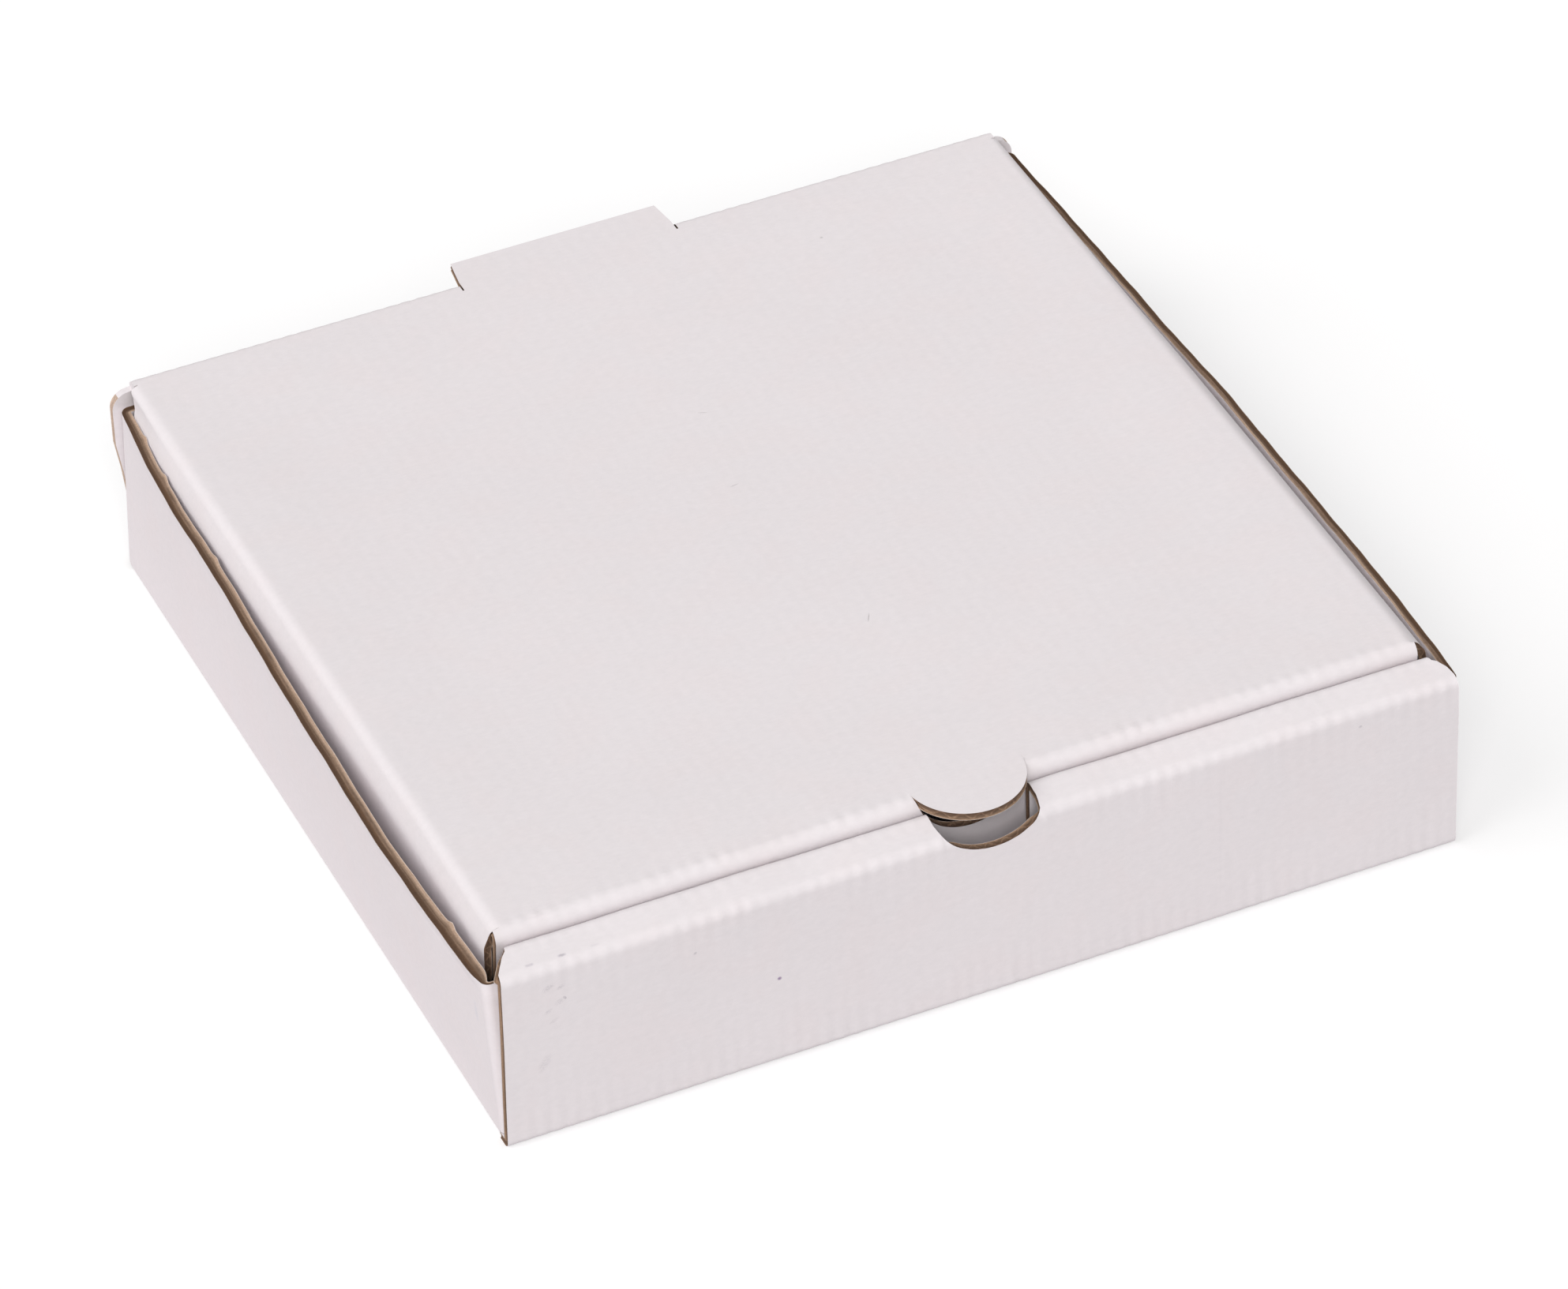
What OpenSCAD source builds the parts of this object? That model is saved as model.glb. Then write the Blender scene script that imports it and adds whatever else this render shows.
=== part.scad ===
// A small white corrugated box with a hinged lid, closed. One sheet is cut and folded:
// a tray with a rolled double front wall, and a lid with dust flaps, a tuck flap and a thumb tab.
// The origin is at the middle of the underside; the front wall faces -Y and +Z is up.

/* [Box] */
// Outer width, at the bottom fold of the side walls
outer_w = 206; // [190:1:230]
// Outer depth, from the front wall to the back wall
outer_d = 206; // [190:1:230]
// Height of the closed lid's top face
lid_top = 46; // [44:0.5:60]
// Thickness of the fluted board
board_t = 1.7; // [1.4:0.1:1.8]
// Outer radius of a tight fold
fold_r = 1.85; // [1.85:0.05:2.2]
// Space left between two loose layers of board
layer_gap = 0.4; // [0.35:0.05:0.5]

/* [Front wall] */
// Height at which the outer front panel meets the rolled strip
front_h = 42.3; // [40.5:0.1:42.5]
// Height at which the rolled strip meets the inner front panel
strip_h = 44.3; // [43.5:0.1:44.4]
// Depth of the rolled strip, from the front face to the back of the inner panel
strip_d = 8.9; // [8:0.1:9.5]
// Outer radius of the two soft creases of the rolled strip
roll_r = 2.4; // [2:0.1:3]
// How far the ends of the inner front panel stand in from the outer width
inner_inset = 5.4; // [4:0.1:8]
// Width of each locking tab of the inner front panel
lock_w = 20; // [12:1:30]
// Distance of each locking tab from the middle of the box
lock_x = 55; // [35:1:75]

/* [Thumb notch] */
// Distance of the notch to the right of the box's middle
notch_x = 1.8; // [0:0.1:4]
// Height of the lowest point of the notch in the outer panel
notch_low = 37.5; // [36:0.1:39]
// Radius of the notch in the outer panel
notch_r = 13.6; // [12:0.1:16]
// Width of the opening in the strip and the inner panel
inner_notch_w = 22.6; // [20:0.1:26]
// Height of the lowest point of the opening in the inner panel
inner_notch_low = 30; // [28:0.5:35]
// Corner radius of the opening in the inner panel
inner_notch_r = 3; // [2:0.5:7]

/* [Side walls] */
// Height of the raw top edge of the side walls
side_h = 40.5; // [38:0.5:41]
// How far the left wall's top leans out at its front end
lean_left = 2.6; // [0:0.1:3]
// How far the left wall's top bows out between its ends, beyond the lean
bow_left = 1.6; // [0:0.1:3]
// How far the right wall's top leans out at its front end
lean_right = 1.8; // [0:0.1:3]
// How far the right wall's top bows out between its ends, beyond the lean
bow_right = 1.7; // [0:0.1:3]
// Length of the corner flaps that are folded from the side walls' ends
corner_flap_l = 68; // [40:1:70]

/* [Back wall] */
// Radius of the back wall's top corners
back_corner_r = 4; // [2:0.5:6]
// Width of the rear tab on the lid, cut out of the back wall
rear_tab_w = 48.5; // [35:0.5:60]
// Length of the rear tab behind the hinge fold
rear_tab_l = 6.9; // [5:0.1:8]
// How much each end of the rear tab is cut back at its free edge
rear_tab_taper = 0.9; // [0:0.1:2]

/* [Lid] */
// How far the folded sides of the lid stand in from the outer width
lid_inset = 4.1; // [4:0.1:5]
// Outer radius of the lid's side folds
lid_side_r = 2.6; // [2:0.1:3]
// Outer radius of the lid's front fold
lid_front_r = 2.6; // [2:0.1:3]
// Distance of the lid's front fold behind the back of the rolled strip
lid_front_gap = 0.4; // [0.4:0.05:0.8]
// Height of the tuck flap and the dust flaps below the lid's top
flap_h = 36; // [25:1:38]
// Lean of the tuck flap away from the inner front panel, in degrees
tuck_lean = 6; // [6:0.5:8]
// How far each dust flap springs out, beyond the lid's folded side, where it is widest
dust_spring = 2.1; // [1:0.1:2.1]
// Depth below the lid's top at which it is widest
dust_wide_h = 5.5; // [4:0.5:8]
// How far its lower edge comes back in from there
dust_lean = 0.3; // [0.1:0.1:1]
// How much the side edges of the flaps are cut back at their free edge
flap_taper = 9; // [4:1:15]
// Height of the straight upper part of the tuck flap's side edges and the dust flaps' front edges
tuck_straight = 14; // [8:1:20]
// How far the side edges of the tuck flap stand in from the outer width
tuck_inset = 3.8; // [3.6:0.1:4.9]
// Distance of the dust flaps' front ends behind the front face
dust_front = 13; // [12.5:0.5:16]
// Distance of the dust flaps' rear ends in front of the back face
dust_rear = 5; // [4:0.5:12]
// Distance of the thumb tab to the right of the box's middle
tab_x = 1.6; // [0:0.1:4]
// Radius of the thumb tab, and of the hole that it leaves in the tuck flap
tab_r = 12.8; // [11:0.1:15]
// How far the thumb tab's tip stays behind the front face
tab_back = 1.8; // [1:0.1:4]
// Depth of the hole in the tuck flap below the lid's top
tab_hole_h = 10; // [8:0.1:12]

/* [Hidden] */
$fn = 96;
FOLD_STEPS = 6;
WALL_STEPS = 16;
// Extra length of a cutting solid beyond what it cuts
CUT = 2;
// Height of the straight foot of a side wall, above the bottom panel, before it starts to lean
FOOT_H = 1;
// Part of that foot that the fold to the bottom panel reaches up
FOOT_FOLD = 0.7;
// How far two solids of one sheet run into each other where they join
JOIN = 0.1;
// Straight end of a folded section, beyond its last bend
STUB = 0.05;
// Width of the strip's end that stays unslanted at the front face
END_LAND = 0.2;

front_y = -outer_d / 2;
back_y = outer_d / 2;
side_x = outer_w / 2;

// Faces of the loose layers behind the outer front panel and in front of the back wall
flap_front_y = front_y + board_t + layer_gap;
flap_back_y = back_y - board_t - layer_gap;
// Back face of the inner front panel
inner_back_y = front_y + strip_d;
// Lowest edge of whatever stands loose on the bottom panel
loose_z = board_t + layer_gap / 2;

// Outer face of the tuck flap at the lid's top, and the lowest edge of the lid's flaps
tuck_y = inner_back_y + lid_front_gap;
flap_z = lid_top - flap_h;
lid_x = side_x - lid_inset;
lid_under = lid_top - board_t;

// The lid's rear fold ends here, and the back wall stops half a layer gap below it
rear_fold_z = lid_top - fold_r - STUB;
back_h = rear_fold_z - layer_gap / 2;
// Depth of the window in the back wall: the rear tab swings down into it, round the lid's top
// edge at the back face
window_z = lid_top - norm([rear_tab_l, board_t]) - layer_gap;

// Direction of travel of leg i of a line of points
function leg_dir(p, i) = (p[i + 1] - p[i]) / norm(p[i + 1] - p[i]);

// A vector turned a quarter turn to the right
function right_of(v) = [v[1], -v[0]];

// Points of the round that joins leg i-1 to leg i, offset to the right of the outer line by off.
// The line turns right at p[i] with the outer radius r.
function bend(p, i, r, off) =
    let (a = leg_dir(p, i - 1), b = leg_dir(p, i),
         start = atan2(a[1], a[0]),
         turn = acos(a * b),
         centre = p[i] - a * r * tan(turn / 2) + right_of(a) * r)
    [for (k = [0:FOLD_STEPS])
        let (h = start - turn * k / FOLD_STEPS)
        centre - right_of([cos(h), sin(h)]) * (r - off)];

// One face of a folded sheet: the line p, with its inner corners rounded by the radii r
function face(p, r, off) = concat(
    [p[0] + right_of(leg_dir(p, 0)) * off],
    [for (i = [1:len(p) - 2]) each bend(p, i, r[i - 1], off)],
    [p[len(p) - 1] + right_of(leg_dir(p, len(p) - 2)) * off]);

function reversed(list) = [for (i = [len(list) - 1:-1:0]) list[i]];

// The section of a folded sheet of board, whose outer face follows the line p
function folded(p, r) = concat(face(p, r, 0), reversed(face(p, r, board_t)));

// Carries a section drawn in Y and Z along X
module along_x(x0, x1) {
    translate([x0, 0, 0]) rotate([90, 0, 90]) linear_extrude(height = x1 - x0) children();
}

// Carries a section drawn in X and Z along Y
module along_y(y0, y1) {
    translate([0, y1, 0]) rotate([90, 0, 0]) linear_extrude(height = y1 - y0) children();
}

// Bottom, outer front panel, rolled strip and inner front panel, as one folded sheet
module front_and_bottom() {
    ends_z = front_h - roll_r;
    difference() {
        along_x(-side_x, side_x)
            polygon(folded(
                [[back_y - fold_r, 0], [front_y, 0], [front_y, front_h],
                 [inner_back_y, strip_h], [inner_back_y, loose_z]],
                [fold_r, roll_r, roll_r]));
        for (side = [0, 1]) mirror([side, 0, 0]) {
            // the strip's slanted end
            translate([0, 0, ends_z])
                linear_extrude(height = lid_top)
                    polygon([[side_x, front_y + END_LAND], [side_x + CUT, front_y - CUT],
                             [side_x + CUT, inner_back_y + CUT],
                             [side_x - inner_inset, inner_back_y + CUT],
                             [side_x - inner_inset, inner_back_y - board_t]]);
            // the space beside the inner panel
            translate([side_x - inner_inset, front_y + board_t, board_t])
                cube([inner_inset + CUT, strip_d, ends_z - board_t + JOIN]);
        }
        thumb_notch();
        lock_slots();
    }
    lock_tabs();
}

// The half-round notch in the outer panel, and the deeper opening through strip and inner panel
module thumb_notch() {
    outer_end = front_y + strip_d / 2;
    translate([notch_x, outer_end, notch_low + notch_r])
        rotate([90, 0, 0]) cylinder(r = notch_r, h = strip_d);
    half = inner_notch_w / 2;
    low = inner_notch_low + inner_notch_r;
    along_y(outer_end - JOIN, inner_back_y + CUT) {
        for (side = [-1, 1])
            translate([notch_x + side * (half - inner_notch_r), low]) circle(r = inner_notch_r);
        translate([notch_x - half + inner_notch_r, inner_notch_low])
            square([2 * (half - inner_notch_r), inner_notch_r]);
        translate([notch_x - half, low]) square([2 * half, lid_top - low]);
    }
}

// Slots in the bottom panel that take the inner front panel's locking tabs
module lock_slots() {
    slot_w = lock_w + 2 * layer_gap;
    for (side = [-1, 1])
        translate([side * lock_x - slot_w / 2, inner_back_y - board_t - layer_gap, -CUT])
            cube([slot_w, board_t + 2 * layer_gap, board_t + CUT + STUB]);
}

// Locking tabs, from the inner front panel down to the underside of the bottom
module lock_tabs() {
    for (side = [-1, 1])
        translate([side * lock_x - lock_w / 2, inner_back_y - board_t, 0])
            cube([lock_w, board_t, loose_z + board_t]);
}

// How far a side wall's top stands out at the depth y
function lean_at(y, lean, bow) =
    let (s = (y - front_y) / outer_d)
    lean * (1 - s) + bow * sin(180 * s);

// Plan of a side wall with its corner flaps, seen from above as one folded strip of board.
// It runs from the front flap's free end round the front corner to the rear flap's free end,
// and out is the share of the lean that the wall has at this height.
function wall_plan(lean, bow, out) =
    let (x_front = -side_x - out * lean_at(flap_front_y, lean, bow),
         x_back = -side_x - out * lean_at(flap_back_y, lean, bow),
         y0 = flap_front_y + fold_r, y1 = flap_back_y - fold_r,
         ends = [[-side_x + corner_flap_l, flap_front_y], [x_front, flap_front_y],
                 [x_back, flap_back_y], [-side_x + corner_flap_l, flap_back_y]],
         middle = [for (k = [1:WALL_STEPS - 1]) y0 + (y1 - y0) * k / WALL_STEPS],
         outside = concat([ends[0]], bend(ends, 1, fold_r, 0),
             [for (y = middle) [-side_x - out * lean_at(y, lean, bow), y]],
             bend(ends, 2, fold_r, 0), [ends[3]]),
         inside = concat([ends[0] + [0, board_t]], bend(ends, 1, fold_r, board_t),
             [for (y = middle) [-side_x + board_t - out * lean_at(y, lean, bow), y]],
             bend(ends, 2, fold_r, board_t), [ends[3] - [0, board_t]]))
    concat(outside, reversed(inside));

// Faces that close one end of a swept band, whose ring of n points starts at the index first
function band_end(first, n) = [for (i = [0:n / 2 - 2])
    let (a = first + i, b = a + 1, d = first + n - 1 - i, c = d - 1)
    each [[a, b, c], [a, c, d]]];

// Left side wall with its front and rear corner flaps, leaning out towards its raw top edge
module side_wall(lean, bow) {
    levels = [[loose_z, 0], [board_t + FOOT_H, 0], [side_h, 1]];
    rings = [for (l = levels) [for (p = wall_plan(lean, bow, l[1])) [p[0], p[1], l[0]]]];
    n = len(rings[0]);
    sides = [for (l = [0:len(levels) - 2]) for (i = [0:n - 1])
        let (a = l * n + i, b = l * n + (i + 1) % n)
        each [[a, b + n, a + n], [a, b, b + n]]];
    polyhedron(
        points = [for (r = rings) each r],
        faces = concat([for (f = band_end(0, n)) reversed(f)],
                       band_end((len(levels) - 1) * n, n),
                       sides));
    // the fold between the wall and the bottom panel
    along_y(flap_front_y + fold_r, flap_back_y - fold_r)
        polygon(folded(
            [[-side_x + 2 * fold_r, 0], [-side_x, 0], [-side_x, board_t + FOOT_H * FOOT_FOLD]],
            [fold_r]));
}

// Back wall, with rounded top corners and the window that the rear tab was cut from
module back_wall() {
    half_window = rear_tab_w / 2 + layer_gap;
    difference() {
        union() {
            translate([-side_x, back_y - board_t, fold_r])
                cube([outer_w, board_t, back_h - fold_r - back_corner_r]);
            translate([-side_x + back_corner_r, back_y - board_t, back_h - back_corner_r - JOIN])
                cube([outer_w - 2 * back_corner_r, board_t, back_corner_r + JOIN]);
            for (side = [-1, 1])
                translate([side * (side_x - back_corner_r), back_y, back_h - back_corner_r])
                    rotate([90, 0, 0]) cylinder(r = back_corner_r, h = board_t);
        }
        translate([-half_window, back_y - board_t - CUT, window_z])
            cube([2 * half_window, board_t + 2 * CUT, lid_top]);
    }
    // the fold between the back wall and the bottom panel
    along_x(-side_x, side_x)
        polygon(folded(
            [[back_y, fold_r + JOIN], [back_y, 0], [back_y - 2 * fold_r, 0]],
            [fold_r]));
}

// The tray: every panel and flap below the hinge fold
module tray() {
    color("#E7E2E2") {
        difference() {
            front_and_bottom();
            // the bottom panel is narrower than the front wall by the side walls' folds
            for (side = [-1, 1])
                translate([side * side_x - (side > 0 ? fold_r : CUT), flap_front_y + fold_r, -CUT])
                    cube([fold_r + CUT, flap_back_y - flap_front_y - 2 * fold_r, CUT + board_t + STUB]);
        }
        side_wall(lean_left, bow_left);
        mirror([1, 0, 0]) side_wall(lean_right, bow_right);
        back_wall();
    }
}

// Lid panel and tuck flap, as one folded sheet. It is wider in front of the dust flaps and behind
// them; between those lines it ends inside the dust flaps' folds.
module panel_and_tuck() {
    width = side_x - tuck_inset;
    inner = lid_x - lid_side_r / 2;
    y0 = front_y + dust_front;
    y1 = back_y - dust_rear;
    tip = tuck_y + flap_h * tan(tuck_lean);
    intersection() {
        along_x(-width, width)
            polygon(folded(
                [[tip, flap_z], [tuck_y, lid_top], [back_y, lid_top], [back_y, rear_fold_z]],
                [lid_front_r, fold_r]));
        along_y(front_y, back_y + CUT)
            polygon([[-width, lid_top + CUT], [width, lid_top + CUT],
                     [width, lid_top - tuck_straight], [width - flap_taper, flap_z],
                     [flap_taper - width, flap_z], [-width, lid_top - tuck_straight]]);
        linear_extrude(height = lid_top + CUT)
            polygon([for (side = [1, -1])
                let (right = [[width, front_y], [width, y0], [inner, y0],
                              [inner, y1], [width, y1], [width, back_y + CUT]])
                each [for (p = side > 0 ? right : reversed(right)) [side * p[0], p[1]]]]);
    }
}

// Lid panel and dust flaps, as one folded sheet
module panel_and_dust() {
    y0 = front_y + dust_front;
    y1 = back_y - dust_rear;
    wide = lid_x + dust_spring;
    tip = wide - dust_lean;
    wide_z = lid_top - dust_wide_h;
    spring_r = 2 * lid_side_r;
    intersection() {
        along_y(y0, y1)
            polygon(folded(
                [[-tip, flap_z], [-wide, wide_z], [-lid_x, lid_top],
                 [lid_x, lid_top], [wide, wide_z], [tip, flap_z]],
                [spring_r, lid_side_r, lid_side_r, spring_r]));
        along_x(-side_x, side_x)
            polygon([[y0, lid_top + CUT], [y1, lid_top + CUT], [y1, lid_under - lid_side_r],
                     [y1 - flap_taper, flap_z], [y0 + 2 * flap_taper, flap_z],
                     [y0, lid_top - tuck_straight]]);
    }
}

// The lid: panel, dust flaps, tuck flap with its half-round hole, thumb tab and rear tab
module lid() {
    hole_end = tuck_y + lid_front_r + board_t;
    color("#EEE9E9") {
        difference() {
            union() {
                panel_and_tuck();
                panel_and_dust();
            }
            translate([tab_x, hole_end, lid_top - tab_hole_h + tab_r])
                rotate([90, 0, 0]) cylinder(r = tab_r, h = hole_end - front_y);
        }
        translate([tab_x, front_y + tab_back + tab_r, lid_under]) cylinder(r = tab_r, h = board_t);
        // the rear tab lies in the lid's plane, behind the hinge fold
        translate([0, 0, lid_under])
            linear_extrude(height = board_t)
                polygon([[-rear_tab_w / 2, back_y - fold_r], [rear_tab_w / 2, back_y - fold_r],
                         [rear_tab_w / 2, back_y],
                         [rear_tab_w / 2 - rear_tab_taper, back_y + rear_tab_l],
                         [rear_tab_taper - rear_tab_w / 2, back_y + rear_tab_l],
                         [-rear_tab_w / 2, back_y]]);
    }
}

tray();
lid();
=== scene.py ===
"""Dresses a small white mailer box: folded fluted board with white liners and brown raw edges.

Every piece is a sheet of board that is laid flat as a grid, trimmed to its cut, and folded by
formula. Lengths are in millimetres until a mesh is written, which is in metres.
"""

from __future__ import annotations

import logging
import math
import sys
from dataclasses import dataclass, field
from enum import Enum
from typing import Any, Callable, Sequence

import bpy
import numpy as np
from mathutils import Matrix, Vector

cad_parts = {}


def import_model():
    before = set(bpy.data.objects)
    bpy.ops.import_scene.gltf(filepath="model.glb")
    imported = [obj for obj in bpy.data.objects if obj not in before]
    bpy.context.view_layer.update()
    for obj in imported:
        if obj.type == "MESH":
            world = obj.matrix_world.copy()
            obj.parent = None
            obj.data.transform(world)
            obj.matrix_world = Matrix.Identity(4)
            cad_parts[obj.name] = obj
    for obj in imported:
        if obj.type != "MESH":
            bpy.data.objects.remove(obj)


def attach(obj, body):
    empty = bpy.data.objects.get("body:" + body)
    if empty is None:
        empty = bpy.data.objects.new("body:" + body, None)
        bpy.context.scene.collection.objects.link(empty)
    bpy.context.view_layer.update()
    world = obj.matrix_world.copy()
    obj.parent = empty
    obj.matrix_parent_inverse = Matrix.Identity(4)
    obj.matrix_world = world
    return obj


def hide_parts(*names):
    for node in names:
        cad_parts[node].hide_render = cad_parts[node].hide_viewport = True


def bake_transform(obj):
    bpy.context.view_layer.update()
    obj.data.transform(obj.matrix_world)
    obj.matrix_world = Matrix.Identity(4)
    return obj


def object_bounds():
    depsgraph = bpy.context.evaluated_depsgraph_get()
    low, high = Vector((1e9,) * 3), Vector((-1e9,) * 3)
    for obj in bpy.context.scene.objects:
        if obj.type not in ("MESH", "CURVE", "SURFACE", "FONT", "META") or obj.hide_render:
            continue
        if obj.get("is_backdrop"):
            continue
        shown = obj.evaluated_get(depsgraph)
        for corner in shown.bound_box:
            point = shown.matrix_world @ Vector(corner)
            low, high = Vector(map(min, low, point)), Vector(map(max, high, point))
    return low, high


Array = np.ndarray
FoldRule = Callable[[Array, Array], Array]
FlatRule = Callable[[Array], Array]

LOG = logging.getLogger("mailer_box")
MM = 0.001
NEAR = 1e-3  # mm within which two lines of the flat sheet count as one
SHARP_EDGE = 38.0  # degrees between two faces above which their edge is drawn sharp


class Face(Enum):
    """Which material of a sheet a face takes."""

    LINER = 0
    RAW_EDGE = 1


@dataclass(frozen=True)
class Board:
    """The fluted board that the box is cut from.

    Args:
        thickness: thickness of the board.
        fold: outer radius of a tight fold.
        gap: space between two loose layers.
        pitch: distance from one flute to the next.
        wave: half height of the flutes' wave, as a share of the thickness.
    """

    thickness: float = 1.7
    fold: float = 1.85
    gap: float = 0.4
    pitch: float = 3.34
    wave: float = 0.34


@dataclass(frozen=True)
class BoxSize:
    """Outer sizes of the closed box, and what several pieces line up with.

    Args:
        half_width: distance of the side walls' bottom folds from the middle.
        half_depth: distance of the front and back faces from the middle.
        lid_top: height of the closed lid.
        seam_y: line in the lid where the hinge crease starts.
        seam_z: height in the back wall where it ends.
        window_half: half width of the back wall's window.
        lid_half: half width of the lid panel, up to the dust flaps' folds.
        panel_left: distance of the lid's left end in front of the dust flap.
        panel_right: distance of its right end there.
        hinge_half: half width of the lid behind the dust flaps.
        back_corner: radius of the back wall's top corners.
        back_top: height of the back wall's top.
    """

    half_width: float = 103.0
    half_depth: float = 103.0
    lid_top: float = 46.0
    seam_y: float = 100.0
    seam_z: float = 43.0
    window_half: float = 24.65
    lid_half: float = 97.6
    panel_left: float = 99.3
    panel_right: float = 98.6
    hinge_half: float = 98.3
    back_corner: float = 4.0
    back_top: float = 43.9


BOARD = Board()
BOX = BoxSize()


def smooth(low: float, high: float, value: Array) -> Array:
    """Smooth step: 0 below low, 1 above high, and 3t^2 - 2t^3 between them.

    Args:
        low: value at which the step starts.
        high: value at which it ends.
        value: where it is wanted.

    Returns:
        The step at each value.
    """
    t = np.clip((np.asarray(value, float) - low) / (high - low), 0.0, 1.0)
    return t * t * (3.0 - 2.0 * t)


def ripple(value: Array, waves: Sequence[tuple[float, float, float]]) -> Array:
    """Sum of sines, each given as (height, wavelength, phase).

    Args:
        value: distance along the surface.
        waves: height, wavelength and phase in radians of each sine.

    Returns:
        The sum at each value.
    """
    return sum(h * np.sin(2.0 * math.pi * value / length + phase) for h, length, phase in waves)


def graded(breaks: Sequence[float], fine: Sequence[tuple[float, float]], small: float, large: float) -> Array:
    """Even steps between sorted break points, small inside the fine ranges and large elsewhere.

    Args:
        breaks: values that must be in the result.
        fine: ranges that take the small step.
        small: widest step inside them.
        large: widest step elsewhere.

    Returns:
        The sorted values.
    """
    points = np.unique(np.round(np.asarray(breaks, float), 6))
    parts = []
    for low, high in zip(points[:-1], points[1:]):
        middle = (low + high) / 2
        step = small if any(a <= middle <= b for a, b in fine) else large
        parts.append(np.linspace(low, high, max(1, math.ceil((high - low) / step - 1e-9)) + 1)[:-1])
    return np.concatenate([*parts, points[-1:]])


class Section:
    """The outer face of a folded board, seen end-on: straight legs joined by bends to the right.

    With the heading h, a leg's point moves on by (cos h, sin h), and a bend's point runs round a
    centre one radius to the right. The depth into the board is measured along (sin h, -cos h).
    """

    def __init__(self, corners: Sequence[tuple[float, float]], radii: Sequence[float]) -> None:
        """Works out where each leg and bend starts.

        Args:
            corners: the sharp corners of the outer line, with both of its ends.
            radii: outer radius of the bend at each corner between the ends.
        """
        points = np.asarray(corners, float)
        legs = np.diff(points, axis=0)
        heads = np.arctan2(legs[:, 1], legs[:, 0])
        turns = -(np.mod(np.diff(heads) + math.pi, 2 * math.pi) - math.pi)
        self.radii = np.asarray(radii, float)
        trim = self.radii * np.tan(turns / 2)
        before, after = np.concatenate([[0.0], trim]), np.concatenate([trim, [0.0]])
        straight = np.hypot(legs[:, 0], legs[:, 1]) - before - after
        count = 2 * len(legs) - 1
        lengths = np.zeros(count)
        lengths[0::2], lengths[1::2] = straight, self.radii * turns
        self.knots = np.concatenate([[0.0], np.cumsum(lengths)])
        self.head = np.repeat(heads, 2)[:count]
        self.bend = np.zeros(count)
        self.bend[1::2] = 1.0 / self.radii
        unit = np.stack([np.cos(heads), np.sin(heads)], axis=1)
        starts = points[:-1] + unit * before[:, None]
        self.start = np.zeros((count, 2))
        self.start[0::2] = starts
        right = np.stack([unit[:-1, 1], -unit[:-1, 0]], axis=1)
        ends = starts[:-1] + unit[:-1] * straight[:-1, None]
        self.start[1::2] = ends + right * self.radii[:, None]

    def place(self, along: Array, depth: Array) -> tuple[Array, Array]:
        """Point at a distance along the outer face and a depth into the board.

        Args:
            along: distance along the outer face from its first end.
            depth: depth below the outer face.

        Returns:
            The two coordinates of each point.
        """
        along, depth = np.broadcast_arrays(np.asarray(along, float), np.asarray(depth, float))
        k = np.clip(np.searchsorted(self.knots, along, side="right") - 1, 0, len(self.head) - 1)
        run = along - self.knots[k]
        head = self.head[k] - self.bend[k] * run
        c, s = np.cos(head), np.sin(head)
        turning = self.bend[k] > 0
        radius = np.where(turning, 1.0 / np.where(turning, self.bend[k], 1.0), 0.0)
        side = depth - radius
        forward = np.where(turning, 0.0, run)
        return self.start[k, 0] + c * forward + s * side, self.start[k, 1] + s * forward - c * side

    def bend_at(self, index: int) -> tuple[float, float]:
        """Where a bend starts and ends along the outer face."""
        return float(self.knots[2 * index + 1]), float(self.knots[2 * index + 2])

    def reach(self, leg: int, axis: int, value: float) -> float:
        """Distance along the outer face at which a leg passes a coordinate.

        Args:
            leg: number of the leg.
            axis: 0 for the first coordinate, 1 for the second.
            value: the coordinate's value.

        Returns:
            The distance along the outer face.
        """
        k = 2 * leg
        unit = (math.cos(self.head[k]), math.sin(self.head[k]))[axis]
        return float(self.knots[k] + (value - self.start[k, axis]) / unit)

    def breaks(self, margin: float = 0.6) -> list[float]:
        """Both ends of each bend, and a line a margin outside each end, for clean shading."""
        ends = [self.bend_at(i) for i in range(len(self.radii))]
        return [v for a, b in ends for v in (a - margin, a, b, b + margin)]

    def fine(self, margin: float = 0.7) -> list[tuple[float, float]]:
        """The range of each bend, with a margin."""
        return [(a - margin, b + margin) for a, b in (self.bend_at(i) for i in range(len(self.radii)))]


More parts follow.
